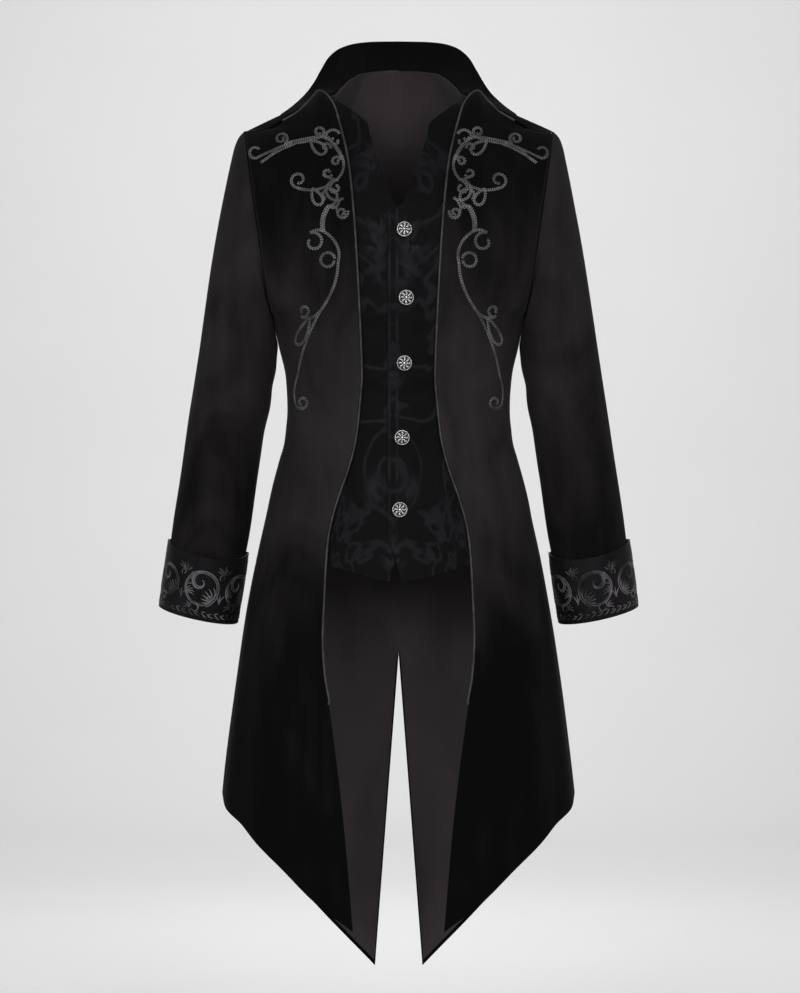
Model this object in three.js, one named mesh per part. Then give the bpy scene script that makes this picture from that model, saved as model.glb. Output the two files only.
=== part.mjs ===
// A man's long black tailcoat, standing hollow as it is worn: velvet fronts and back with pointed tails and a centre
// vent, a satin lining in the back, a turned-out stand collar, piped front edges with a peak at the neck, false
// waistcoat fronts with five metal buttons, and sleeves with turned-back cuffs.
//
// Millimetres, +Z up, the front faces -Y and +X is the wearer's left. The tables measure heights from the nape, and
// depths from the line through the two shoulder points. The origin is the nape, inside the cloth at the collar seam.

import * as THREE from "three";

// Cloth and trim
const VELVET = 2.2;
const LINING = 1.0;
const WAISTCOAT_CLOTH = 1.6;
const SLEEVE_CLOTH = 2.0;
const CUFF_CLOTH = 2.4;
const COLLAR_CLOTH = 2.6;
const PIPING_DIAMETER = 3.0;
const PIPING_PROUD = 0.6; // how far its middle stands above the cloth on the shoulder
const SEAM_GAP = 0.3;

// The shell of the coat
const UNDERARM = -340; // height where the armhole and the side seam meet
const ROUNDNESS = 2.3; // exponent of the cross-section, 2 being an ellipse
const ARCH = 2.6; // exponent of the curve that carries the chest and back up over the shoulder
const ARMHOLE = { middle: -216, halfHeight: 124, halfDepth: 72 };
const VENT_TOP = -794;
const VENT_OPENING = 33; // each tail's distance from the centre at its tip
const NAPE = { y: 64.8, z: -3 };
const LINING_CLEAR = 0.65; // how far it hangs inside the back's cloth
const LINING_SHORT = { hem: 7, inner: 2.4, side: 5, top: 8 };

// half: half the width, or above the underarm the armhole's distance from the centre; front and back: the depth of
// each face
const BODY = [
  { z: -1240, half: 255, front: 166, back: 170 },
  { z: -1134, half: 247, front: 160, back: 166 },
  { z: -982, half: 235, front: 153, back: 157 },
  { z: -875, half: 223, front: 146, back: 146 },
  { z: -769, half: 208, front: 139, back: 135 },
  { z: -663, half: 189.5, front: 130, back: 122 },
  { z: -609, half: 177.6, front: 124, back: 114 },
  { z: -556, half: 165.6, front: 120, back: 106 },
  { z: -530, half: 158.5, front: 118, back: 101 },
  { z: -503, half: 151.5, front: 117, back: 96 },
  { z: -463, half: 148, front: 117, back: 93 },
  { z: -423, half: 149.8, front: 120, back: 96 },
  { z: -376, half: 160, front: 123, back: 102 },
  { z: -340, half: 167.5, front: 125, back: 106 },
  { z: -216, half: 185.5, front: 126, back: 113 },
  { z: -92, half: 203.5, front: 119, back: 113 },
  { z: 0, half: 216.9, front: 118, back: 108 },
];

// Height of the line where each face would meet its opposite at the top, across the shoulder and over the neck
const RIDGE = [
  { x: 0, back: 60, front: 0, waistcoat: 0 },
  { x: 25, back: 53, front: -11, waistcoat: -11 },
  { x: 51, back: 34, front: -24, waistcoat: -24 },
  { x: 67, back: 0, front: -33, waistcoat: -33 },
  { x: 79, back: -27, front: -39, waistcoat: -39 },
  { x: 87, back: -42, front: -40, waistcoat: -42 },
  { x: 95, back: -45, front: -38, waistcoat: -45 },
  { x: 104, back: -47.5, front: -37, waistcoat: -47.5 },
  { x: 118, back: -53, front: -50, waistcoat: -53 },
  { x: 132, back: -59.5, front: -59.5, waistcoat: -59.5 },
  { x: 157, back: -71, front: -71, waistcoat: -71 },
  { x: 206, back: -93.5, front: -93.5, waistcoat: -93.5 },
];

// The front panel's free edge, from the tip of the skirt to the peak at the neck
const FRONT_EDGE = [
  { z: -1134, x: 58.3 },
  { z: -1034, x: 66.6 },
  { z: -970, x: 73.1 },
  { z: -905, x: 81.4 },
  { z: -840, x: 91 },
  { z: -811, x: 96.5 },
  { z: -760, x: 99.8 },
  { z: -707, x: 97.8 },
  { z: -641, x: 94 },
  { z: -613, x: 89.6 },
  { z: -575, x: 78.7 },
  { z: -544, x: 67.5 },
  { z: -503, x: 57 },
  { z: -454, x: 51.6 },
  { z: -423, x: 49.2 },
  { z: -382, x: 50.4 },
  { z: -313, x: 53.5 },
  { z: -212, x: 59.8 },
  { z: -145, x: 66.8 },
  { z: -86, x: 80 },
  { z: -61, x: 87.5 },
  { z: -50, x: 94 },
  { z: -44, x: 99 },
  { z: -40, x: 104 },
];
const PIPING_END = -844;

// Hems, as heights against the distance from the centre
const FRONT_HEM = [
  { x: 50, z: -1142 },
  { x: 58.3, z: -1134 },
  { x: 94, z: -1108 },
  { x: 201, z: -1007 },
  { x: 226, z: -984 },
  { x: 236, z: -964 },
  { x: 240, z: -950 },
];
const BACK_HEM = [
  { x: 20, z: -1243 },
  { x: 33, z: -1229 },
  { x: 102, z: -1156 },
  { x: 210, z: -1024 },
  { x: 228, z: -1000 },
  { x: 236, z: -966 },
  { x: 240, z: -950 },
];

// Depth at which the shoulder seam runs, ahead of the shoulder line
const SHOULDER_SEAM = [
  { x: 104, depth: 20 },
  { x: 118, depth: 24 },
  { x: 132, depth: 31 },
  { x: 157, depth: 30 },
  { x: 206, depth: 24 },
];
const BACK_BEHIND_SEAM = 4.8; // how far behind the front's shoulder edge the back's cloth ends

// The back's neck edge: sweep is 0 at the underarm's height, 1 on top of the shoulder and past 1 ahead of it
const NECKLINE = [
  { sweep: 0.638, x: 0.15 },
  { sweep: 0.65, x: 24 },
  { sweep: 0.694, x: 51 },
  { sweep: 0.79, x: 67 },
  { sweep: 0.89, x: 79 },
  { sweep: 1.0, x: 87 },
  { sweep: 1.1, x: 92 },
];

// Soft flutes of the skirt: at and spread are shares of the way from the inner edge to the side seam
const FRONT_FLUTES = [
  { at: 0.16, spread: 0.09, depth: 3.5 },
  { at: 0.43, spread: 0.12, depth: 6 },
  { at: 0.74, spread: 0.1, depth: 4.5 },
];
const BACK_FLUTES = [
  { at: 0.12, spread: 0.08, depth: 5 },
  { at: 0.36, spread: 0.11, depth: 7 },
  { at: 0.66, spread: 0.12, depth: 5 },
];
const FLUTES_START = -520;
const FLUTES_FULL = -1050;

// Sleeve rings from the armhole to the wrist: the point on the outer arm, the point under it, and the ring's depth
const SLEEVE = [
  { outX: 205, outZ: -92.4, inX: 168.1, inZ: -340.6, y: 0, deep: 72 },
  { outX: 212.5, outZ: -101, inX: 167.6, inZ: -343.6, y: 0, deep: 71.5 },
  { outX: 217.5, outZ: -113, inX: 166.8, inZ: -347, y: 0, deep: 71 },
  { outX: 223, outZ: -136, inX: 165.5, inZ: -353, y: 0, deep: 70 },
  { outX: 230.5, outZ: -172, inX: 164.1, inZ: -360, y: 1, deep: 67.5 },
  { outX: 240, outZ: -222, inX: 162.5, inZ: -368, y: 1, deep: 64 },
  { outX: 249, outZ: -274, inX: 161, inZ: -378, y: 2, deep: 61 },
  { outX: 257.5, outZ: -328, inX: 162.2, inZ: -393, y: 3, deep: 58.5 },
  { outX: 265, outZ: -378, inX: 164.7, inZ: -413, y: 4, deep: 56.5 },
  { outX: 271, outZ: -421, inX: 169, inZ: -441, y: 4, deep: 55 },
  { outX: 278, outZ: -468, inX: 176.2, inZ: -484, y: 3, deep: 53 },
  { outX: 285, outZ: -515, inX: 184.5, inZ: -530, y: 0, deep: 51 },
  { outX: 292, outZ: -562, inX: 190.5, inZ: -577, y: -4, deep: 48.5 },
  { outX: 298.5, outZ: -609, inX: 197, inZ: -624, y: -9, deep: 46 },
  { outX: 304, outZ: -652, inX: 205.2, inZ: -669, y: -13, deep: 44 },
  { outX: 308.6, outZ: -690, inX: 210.6, inZ: -709, y: -16, deep: 43 },
  { outX: 313, outZ: -720, inX: 216.8, inZ: -741, y: -18, deep: 42.5, dip: 4 },
];
const CUFF = [
  { outX: 306, outZ: -634, inX: 198, inZ: -652, y: -12, deep: 48.8, dip: 15 },
  { outX: 309.8, outZ: -663, inX: 201.8, inZ: -683, y: -14, deep: 48, dip: 12 },
  { outX: 313.8, outZ: -692, inX: 206.6, inZ: -714, y: -16, deep: 47.2, dip: 9 },
  { outX: 317.4, outZ: -722, inX: 211.8, inZ: -745, y: -18, deep: 46.6, dip: 6 },
];

// The collar from the centre back to its tip on the shoulder. It starts on the neck edge, by sweep and then by the
// distance out along the shoulder seam; the other columns place its free edge.
const COLLAR = [
  { sweep: 0.638, edgeX: 0, edgeY: 83, edgeZ: 40 },
  { sweep: 0.65, edgeX: 31, edgeY: 80, edgeZ: 39 },
  { sweep: 0.67, edgeX: 58, edgeY: 72, edgeZ: 35.5 },
  { sweep: 0.72, edgeX: 80, edgeY: 60, edgeZ: 27 },
  { sweep: 0.8, edgeX: 95, edgeY: 44, edgeZ: 12 },
  { sweep: 0.9, edgeX: 105, edgeY: 29, edgeZ: -8 },
  { sweep: 1.0, edgeX: 113, edgeY: 17, edgeZ: -26 },
  { out: 100, edgeX: 121, edgeY: 9, edgeZ: -40 },
  { out: 114, edgeX: 131, edgeY: 5, edgeZ: -51 },
  { out: 132, edgeX: 143, edgeY: -2, edgeZ: -62 },
  { out: 155, edgeX: 156.5, edgeY: -16, edgeZ: -73 },
];
const COLLAR_TIP = 155; // distance of its tip, and of the piping's end, from the centre
const COLLAR_ROLL = 3.5; // how far the band bows out between its seam and its edge
const COLLAR_LIFT = 0.9; // height of its seam above the cloth that it stands on
const COLLAR_BEHIND_SEAM = 6.8; // how far it stands behind the front's shoulder edge

// False waistcoat fronts: the lapped one is the wearer's left
const WAISTCOAT_DEPTH = 5.2; // how far it lies inside the coat's surface
const LAP_STEP = { over: WAISTCOAT_CLOTH + SEAM_GAP, under: -1.2 }; // how far each lapped edge stands forward
const LAP = { start: 34, width: 16 }; // where the step begins, from the centre, and the width that it takes
const WAISTCOAT_SHOULDER = { narrower: 26, above: 90 }; // how far inside the armhole it runs, and from what height
const WAISTCOAT_NECK = [
  { z: -206, x: 2 },
  { z: -186, x: 10 },
  { z: -165, x: 19 },
  { z: -132, x: 30 },
  { z: -101, x: 39 },
  { z: -88, x: 42 },
  { z: -84, x: 46 },
  { z: -66, x: 66 },
  { z: -47, x: 88 },
];
const LAPPED_EDGE = [
  { z: -700, x: 7 },
  { z: -682, x: 2 },
  { z: -660, x: -3.2 },
  { z: -641, x: -10.3 },
  { z: -617, x: -14.5 },
  { z: -214, x: -14 },
  { z: -208, x: -6 },
];
const UNDER_EDGE = [
  { z: -700, x: 16 },
  { z: -687, x: 12 },
  { z: -664, x: 6 },
  { z: -640, x: -6 },
  { z: -610, x: -14 },
  { z: -232, x: -14 },
  { z: -214, x: -8 },
  { z: -208, x: -3 },
];
const WAISTCOAT_HEM = [
  { x: -16, z: -689 },
  { x: 3, z: -688 },
  { x: 16, z: -687 },
  { x: 57, z: -676 },
  { x: 92, z: -667 },
  { x: 190, z: -650 },
];

const BUTTONS = [
  { x: 7.5, z: -234 },
  { x: 10, z: -322 },
  { x: 7.5, z: -406 },
  { x: 4.6, z: -502 },
  { x: 1.7, z: -595 },
];
const BUTTON = { radius: 10.3, rim: 1.4, dome: 4.2, shank: 3, shankRadius: 2.6 };

// A smooth curve with no overshoot through a table's rows, read from one named column to another.
function curve(rows, from, to) {
  const x = rows.map((row) => row[from]);
  const y = rows.map((row) => row[to]);
  const last = x.length - 1;
  const slope = x.slice(1).map((value, i) => (y[i + 1] - y[i]) / (value - x[i]));
  const tangent = x.map((_, i) => {
    if (i === 0) return slope[0];
    if (i === last) return slope[last - 1];
    if (slope[i - 1] * slope[i] <= 0) return 0;
    const before = x[i] - x[i - 1];
    const after = x[i + 1] - x[i];
    const weight = 3 * (before + after);
    return weight / ((2 * after + before) / slope[i - 1] + (after + 2 * before) / slope[i]);
  });
  return (value) => {
    if (value <= x[0]) return y[0] + tangent[0] * (value - x[0]);
    if (value >= x[last]) return y[last] + tangent[last] * (value - x[last]);
    let i = 0;
    while (value > x[i + 1]) i++;
    const span = x[i + 1] - x[i];
    const t = (value - x[i]) / span;
    const rise = t * t * (3 - 2 * t);
    const lead = t * (1 - t) * (1 - t) * span;
    const trail = t * t * (t - 1) * span;
    return y[i] + (y[i + 1] - y[i]) * rise + tangent[i] * lead + tangent[i + 1] * trail;
  };
}

const halfWidth = curve(BODY, "z", "half");
const frontEdge = curve(FRONT_EDGE, "z", "x");
const shoulderSeam = curve(SHOULDER_SEAM, "x", "depth");
const neckline = curve(NECKLINE, "sweep", "x");
const FRONT = { turn: -1, depth: curve(BODY, "z", "front"), ridge: curve(RIDGE, "x", "front") };
const BACK = { turn: 1, depth: curve(BODY, "z", "back"), ridge: curve(RIDGE, "x", "back") };
const OVER_SHOULDER = { turn: -1, depth: FRONT.depth, ridge: BACK.ridge };
const INNER_FRONT = { turn: -1, depth: FRONT.depth, ridge: curve(RIDGE, "x", "waistcoat") };

const clamp = (value, low, high) => Math.min(high, Math.max(low, value));
const mix = (a, b, share) => a + (b - a) * share;
const steps = (count) => Array.from({ length: count + 1 }, (_, i) => i / count);

// Half the depth of the armhole at a height
function armholeDepth(z) {
  const rise = clamp((z - ARMHOLE.middle) / ARMHOLE.halfHeight, -1, 1);
  return ARMHOLE.halfDepth * Math.sqrt(1 - rise * rise);
}

// Depth of a face at a place: a rounded section below the underarm, and above it one that arches in to the ridge
function faceDepth(face, x, z) {
  const reach = Math.abs(x);
  const across = Math.min(1, reach / halfWidth(z));
  const section = Math.sqrt(1 - across ** ROUNDNESS);
  if (z <= UNDERARM) return face.depth(z) * section;
  const rise = clamp((z - UNDERARM) / (face.ridge(reach) - UNDERARM), 0, 1);
  const arch = Math.sqrt(1 - rise ** ARCH);
  return face.depth(z) * arch * section + armholeDepth(z) * across ** 6;
}

const onFace = (face, x, z) => new THREE.Vector3(x, face.turn * faceDepth(face, x, z), z);

// The height on a face at a distance x and a sweep up from the underarm
const sweptHeight = (face, x, sweep) =>
  UNDERARM + (face.ridge(Math.abs(x)) - UNDERARM) * Math.sin((Math.min(sweep, 2 - sweep) * Math.PI) / 2);

// A place between a panel's inner edge (share 0) and the side seam or armhole (share 1), closer together at the side
function across(face, inner, z, share) {
  const half = halfWidth(z);
  const start = Math.asin(clamp(inner / half, -1, 1));
  const end = Math.PI / 2 - (z > UNDERARM ? 0 : SEAM_GAP / 2 / face.depth(z));
  return half * Math.sin(mix(start, end, share));
}

// Solves next(value) = value by repeating it
function settle(value, next) {
  for (let i = 0; i < 60; i++) value = mix(value, next(value), 0.6);
  return value;
}

// A panel's point below the underarm: rise runs from 0 at the hem to 1 at the underarm
function lowerPoint(face, inner, hem, flutes, share, rise) {
  const bottom = settle(hem(100), (z) => hem(across(face, inner(z), z, share)));
  const z = mix(bottom, UNDERARM, rise);
  const point = onFace(face, across(face, inner(z), z, share), z);
  const fall = clamp((FLUTES_START - z) / (FLUTES_START - FLUTES_FULL), 0, 1);
  const swell = flutes.reduce((sum, f) => sum + f.depth * Math.exp(-(((share - f.at) / f.spread) ** 2)), 0);
  const out = new THREE.Vector3(point.x / halfWidth(z) ** 2, point.y / face.depth(z) ** 2, 0).normalize();
  return point.addScaledVector(out, swell * fall * Math.sin(Math.PI * Math.min(share, 1)) ** 0.5);
}

// A panel's point above the underarm; column places it between the inner edge and the armhole
function upperPoint(face, inner, share, sweep, column = across) {
  const place = (z) => column(face, inner(z, sweep), z, share, sweep);
  const z = settle(UNDERARM, (height) => sweptHeight(face, place(height), sweep));
  return onFace(face, place(z), z);
}

// The sweep at which a face has come in to a given depth
function sweepAtDepth(face, inner, share, depthAt, column) {
  let low = 0.5;
  let high = 1;
  for (let i = 0; i < 30; i++) {
    const middle = (low + high) / 2;
    const point = upperPoint(face, inner, share, middle, column);
    if (Math.abs(point.y) > depthAt(Math.abs(point.x))) low = middle;
    else high = middle;
  }
  return low;
}

// Outward normals of a grid of points: the mean of the faces round each point, the larger ones counting for more,
// so that it stays true where rows and columns run nearly together, as they do along the back of the neck
function normals(grid, wrap, away) {
  const cols = grid[0].length;
  const made = grid.map((row) => row.map(() => new THREE.Vector3()));
  for (let r = 0; r < grid.length - 1; r++) {
    for (let c = 0; c < (wrap ? cols : cols - 1); c++) {
      const next = (c + 1) % cols;
      const across = grid[r + 1][next].clone().sub(grid[r][c]);
      const back = grid[r + 1][c].clone().sub(grid[r][next]);
      const face = across.cross(back);
      for (const row of [made[r], made[r + 1]]) for (const corner of [c, next]) row[corner].add(face);
    }
  }
  made.forEach((row) => row.forEach((n) => n.normalize()));
  const votes = grid.flatMap((row, r) => row.map((p, c) => made[r][c].dot(away(p, r))));
  const turn = Math.sign(votes.reduce((a, b) => a + b, 0));
  return made.map((row) => row.map((n) => n.multiplyScalar(turn)));
}

const fromAxis = (p) => new THREE.Vector3(p.x, p.y, 0);

// Moves each point of a grid inwards; depth is a number or a function of the point
function inset(grid, depth, wrap = false, away = fromAxis) {
  const out = normals(grid, wrap, away);
  const by = typeof depth === "function" ? depth : () => depth;
  return grid.map((row, r) => row.map((p, c) => p.clone().addScaledVector(out[r][c], -by(p))));
}

// Whether a cell cut from its first corner to its third has halves that face opposite ways
function foldsOver([a, b, c, d]) {
  const half = (p, q) => p.clone().sub(a).cross(q.clone().sub(a));
  return half(b, c).dot(half(c, d)) < 0;
}

// A closed wall of cloth between a grid of outer points and the same points moved inwards. trim keeps the inner
// points clear of the neighbour across a seam.
function wall(grid, thickness, { wrap = false, away = fromAxis, trim = () => {} } = {}) {
  const rows = grid.length;
  const cols = grid[0].length;
  const inner = inset(grid, thickness, wrap, away);
  inner.forEach((row, r) => row.forEach((p) => trim(p, r)));
  const points = [...grid.flat(), ...inner.flat()];
  const layer = rows * cols;
  const triangles = [];
  const quad = (a, b, c, d) => triangles.push(a, b, c, a, c, d);
  const lastCol = wrap ? cols : cols - 1;
  for (let r = 0; r < rows - 1; r++) {
    for (let c = 0; c < lastCol; c++) {
      const next = (c + 1) % cols;
      const corners = [r * cols + c, r * cols + next, (r + 1) * cols + next, (r + 1) * cols + c];
      if (foldsOver(corners.map((i) => points[i]))) corners.push(corners.shift());
      const [a, b, e, f] = corners;
      quad(a, b, e, f);
      quad(layer + a, layer + f, layer + e, layer + b);
    }
  }
  for (let c = 0; c < lastCol; c++) {
    const next = (c + 1) % cols;
    const top = (rows - 1) * cols;
    quad(c, layer + c, layer + next, next);
    quad(top + next, layer + top + next, layer + top + c, top + c);
  }
  if (!wrap) {
    for (let r = 0; r < rows - 1; r++) {
      const [a, b] = [r * cols, (r + 1) * cols];
      quad(b, layer + b, layer + a, a);
      quad(a + cols - 1, layer + a + cols - 1, layer + b + cols - 1, b + cols - 1);
    }
  }
  return facingOut(points, triangles);
}

// A geometry whose faces point out of the solid
function facingOut(points, triangles) {
  let volume = 0;
  for (let i = 0; i < triangles.length; i += 3) {
    const [a, b, c] = [points[triangles[i]], points[triangles[i + 1]], points[triangles[i + 2]]];
    volume += a.dot(b.clone().cross(c));
  }
  if (volume < 0) for (let i = 0; i < triangles.length; i += 3) triangles.splice(i, 2, triangles[i + 1], triangles[i]);
  const geometry = new THREE.BufferGeometry().setFromPoints(points);
  geometry.setIndex(triangles);
  geometry.computeVertexNormals();
  return geometry;
}

// The same geometry on the other side of the body
function mirrored(geometry) {
  const made = geometry.clone().scale(-1, 1, 1);
  const index = made.index.array;
  for (let i = 0; i < index.length; i += 3) [index[i + 1], index[i + 2]] = [index[i + 2], index[i + 1]];
  made.computeVertexNormals();
  return made;
}

// Fronts and backs. shares are the columns, rises the rows below the underarm and lifts those above it.
const frontInner = (z) => frontEdge(z);
const frontHem = curve(FRONT_HEM, "x", "z");
const backHem = curve(BACK_HEM, "x", "z");
const ventEdge = (z) => SEAM_GAP / 2 + (VENT_OPENING * Math.max(0, VENT_TOP - z)) / (VENT_TOP - BACK_HEM[1].z);
const backInner = (z, sweep = 0) => (sweep > NECKLINE[0].sweep ? neckline(sweep) : ventEdge(z));

function frontGrid(shares, rises, lifts) {
  const low = rises.map((rise) =>
    shares.map((share) => lowerPoint(FRONT, frontInner, frontHem, FRONT_FLUTES, share, rise)),
  );
  const seamAt = (x) => shoulderSeam(x);
  const tops = shares.map((share) => sweepAtDepth(FRONT, frontInner, share, seamAt));
  const high = lifts.map((lift) => shares.map((share, c) => upperPoint(FRONT, frontInner, share, lift * tops[c])));
  return [...low, ...high];
}

// The back's columns close in on the bend where the neck's rise meets the shoulder line. Columns at plain shares step
// over the bend at another place in each row, and the rows then cross.
function backColumn(face, inner, z, share, sweep) {
  const bend = Math.max(NECK_BEND.x, inner + NECK_BEND.least);
  const bent =
    share < NECK_BEND.share
      ? mix(inner, bend, share / NECK_BEND.share)
      : across(face, bend, z, (share - NECK_BEND.share) / (1 - NECK_BEND.share));
  return mix(across(face, inner, z, share), bent, clamp((sweep - NECK_BEND.from) / (NECK_BEND.full - NECK_BEND.from), 0, 1));
}

// How far the back passes over the shoulder before it meets the front
function backReach(share) {
  const behindSeam = (x) => shoulderSeam(x) - BACK_BEHIND_SEAM;
  const inner = () => NECKLINE.at(-1).x;
  const column = (face, edge, z, at) => backColumn(face, edge, z, at, NECK_BEND.full);
  return 2 - sweepAtDepth(OVER_SHOULDER, inner, share, behindSeam, column);
}

function backGrid(shares, rises, sweeps) {
  const low = rises.map((rise) =>
    shares.map((share) => lowerPoint(BACK, backInner, backHem, BACK_FLUTES, share, rise)),
  );
  const reach = shares.map(backReach);
  const high = sweeps.map((sweep) =>
    shares.map((share, c) => {
      const end = sweep > 1 ? mix(1, reach[c], sweep - 1) : sweep;
      const face = end > 1 ? OVER_SHOULDER : BACK;
      const inner = () => backInner(0, sweep > 1 ? 1 + (sweep - 1) * 0.1 : sweep);
      return upperPoint(face, inner, share, end, backColumn);
    }),
  );
  return [...low, ...high];
}

const FRONT_RISES = [0, 0.1, 0.2, 0.29, 0.365, 0.44, 0.51, 0.57, 0.62, 0.67, 0.72, 0.77, 0.83, 0.91, 1];
const BACK_RISES = steps(14);
const LIFTS = [0.1, 0.22, 0.34, 0.46, 0.58, 0.69, 0.79, 0.88, 0.95, 1];
const SWEEPS = [0.12, 0.25, 0.38, 0.5, 0.59, 0.638, 0.664, 0.694, 0.735, 0.8, 0.9, 1, 1.5, 2];
const BACK_SHARES = [0, 0.1, 0.22, 0.34, 0.47, 0.6, 0.73, 0.87, 1];
// The bend's distance from the centre, the least distance of its column from the neck edge, the share of that column,
// and the sweeps from which and at which the columns follow it
const NECK_BEND = { x: 86, least: 6, share: 0.22, from: 0.1, full: 0.5 };

const beside = (side, z) => Math.max(side, z <= UNDERARM + 10 ? SEAM_GAP / 2 : side);
const trimFront = (p) => p.setY(-beside(-p.y, p.z));
const trimBack = (p) => p.set(Math.max(p.x, SEAM_GAP / 2), beside(p.y, p.z), p.z);

const frontPoints = frontGrid(steps(9), FRONT_RISES, LIFTS);
const frontPanel = wall(frontPoints, VELVET, { trim: trimFront });
const backPoints = backGrid(BACK_SHARES, BACK_RISES, SWEEPS);
const backPanel = wall(backPoints, VELVET, { trim: trimBack });

// The back's lining has the same facets, and stops short of the hem, the vent, the side seam and the shoulder seam
function shortened(grid, short) {
  const pull = (row, i, j, by) => {
    const length = row[i].distanceTo(row[j]);
    row[i] = row[i].clone().lerp(row[j], Math.min(0.5, by / length));
  };
  const made = grid.map((row) => [...row]);
  const last = made.length - 1;
  for (const row of made) {
    pull(row, 0, 1, short.inner);
    pull(row, row.length - 1, row.length - 2, short.side);
  }
  for (let c = 0; c < made[0].length; c++) {
    const column = made.map((row) => row[c]);
    pull(column, 0, 1, short.hem);
    pull(column, last, last - 1, short.top);
    made[0][c] = column[0];
    made[last][c] = column[last];
  }
  return made;
}
const liningPoints = shortened(inset(backPoints, VELVET + LINING_CLEAR), LINING_SHORT);
const backLining = wall(liningPoints, LINING);

// False waistcoat fronts, inside the coat's fronts and sewn into its side seams
function waistcoatGrid(lowEdge, step) {
  const neck = curve(WAISTCOAT_NECK, "z", "x");
  const edge = curve(lowEdge, "z", "x");
  const neckFoot = WAISTCOAT_NECK[0].z;
  const inner = (z) => (z > neckFoot ? neck(z) : edge(z));
  const hem = curve(WAISTCOAT_HEM, "x", "z");
  const shares = steps(9);
  const outer = (z) => {
    const rise = clamp((z - UNDERARM) / WAISTCOAT_SHOULDER.above, 0, 1);
    return halfWidth(z) - WAISTCOAT_SHOULDER.narrower * Math.sin((rise * Math.PI) / 2);
  };
  const place = (z, share) => {
    const wide = across(INNER_FRONT, inner(z), z, share);
    return z > UNDERARM ? mix(mix(inner(z), outer(z), share), Math.min(wide, outer(z)), 0.6) : wide;
  };
  const low = steps(9).map((rise) =>
    shares.map((share) => {
      const bottom = settle(hem(60), (z) => hem(place(z, share)));
      const z = mix(bottom, UNDERARM, rise);
      return onFace(INNER_FRONT, place(z, share), z);
    }),
  );
  const high = [0.11, 0.22, 0.32, 0.41, 0.5, 0.59, 0.67, 0.75, 0.83, 0.91].map((sweep) =>
    shares.map((share) => {
      const z = settle(UNDERARM, (height) => sweptHeight(INNER_FRONT, place(height, share), sweep));
      return onFace(INNER_FRONT, place(z, share), z);
    }),
  );
  const depth = (p) => WAISTCOAT_DEPTH - step * clamp((LAP.start - p.x) / LAP.width, 0, 1);
  return inset([...low, ...high], depth);
}

// Sleeves and cuffs: rings that fan out round the underarm
function ringGrid(rows, perGap, segments) {
  const marks = rows.map((row, i) => ({ dip: 0, ...row, i }));
  const read = Object.fromEntries(
    ["outX", "outZ", "inX", "inZ", "y", "deep", "dip"].map((name) => [name, curve(marks, "i", name)]),
  );
  return steps((rows.length - 1) * perGap).map((share) => {
    const i = share * (rows.length - 1);
    const out = new THREE.Vector3(read.outX(i), read.y(i), read.outZ(i));
    const under = new THREE.Vector3(read.inX(i), read.y(i), read.inZ(i));
    const middle = out.clone().add(under).multiplyScalar(0.5);
    const arm = out.clone().sub(middle);
    return Array.from({ length: segments }, (_, k) => {
      const turn = (2 * Math.PI * k) / segments;
      const point = middle.clone().addScaledVector(arm, Math.cos(turn));
      point.y -= read.deep(i) * Math.sin(turn);
      point.z -= read.dip(i) * Math.max(0, Math.sin(turn));
      return point;
    });
  });
}

function ringWall(grid, thickness, trim) {
  const middles = grid.map((ring) =>
    ring.reduce((sum, p) => sum.add(p), new THREE.Vector3()).multiplyScalar(1 / ring.length),
  );
  return wall(grid, thickness, { wrap: true, away: (p, r) => p.clone().sub(middles[r]), trim });
}

// The collar: a band from the neck edge, turned out over the shoulders
function collarGrid() {
  const rows = COLLAR.map((row, i) => {
    const seam = row.out
      ? seamPoint(row.out)
      : upperPoint(row.sweep >= 1 ? OVER_SHOULDER : BACK, () => neckline(row.sweep), 0, row.sweep);
    return { ...row, i, seamX: seam.x, seamY: seam.y, seamZ: seam.z + COLLAR_LIFT };
  });
  const names = ["seamX", "seamY", "seamZ", "edgeX", "edgeY", "edgeZ"];
  const read = Object.fromEntries(names.map((name) => [name, curve(rows, "i", name)]));
  const last = rows.length - 1;
  const column = (i, side) => {
    const seam = new THREE.Vector3(side * read.seamX(i), read.seamY(i), read.seamZ(i));
    const edge = new THREE.Vector3(side * read.edgeX(i), read.edgeY(i), read.edgeZ(i));
    const out = new THREE.Vector3(edge.x * 0.6, edge.y, -12).normalize();
    const bow = COLLAR_ROLL * (1 - i / last);
    return steps(4).map((t) => seam.clone().lerp(edge, t).addScaledVector(out, bow * Math.sin(Math.PI * t)));
  };
  const half = steps(2 * last).map((share) => share * last);
  return [...half.slice(1).reverse().map((i) => column(i, -1)), ...half.map((i) => column(i, 1))];
}

// The point on the shoulder where the collar is sewn on, at a distance from the centre
function seamPoint(x) {
  let low = -140;
  let high = BACK.ridge(x);
  for (let i = 0; i < 40; i++) {
    const z = (low + high) / 2;
    if (faceDepth(OVER_SHOULDER, x, z) > shoulderSeam(x) - COLLAR_BEHIND_SEAM) low = z;
    else high = z;
  }
  return onFace(OVER_SHOULDER, x, low);
}

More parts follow.
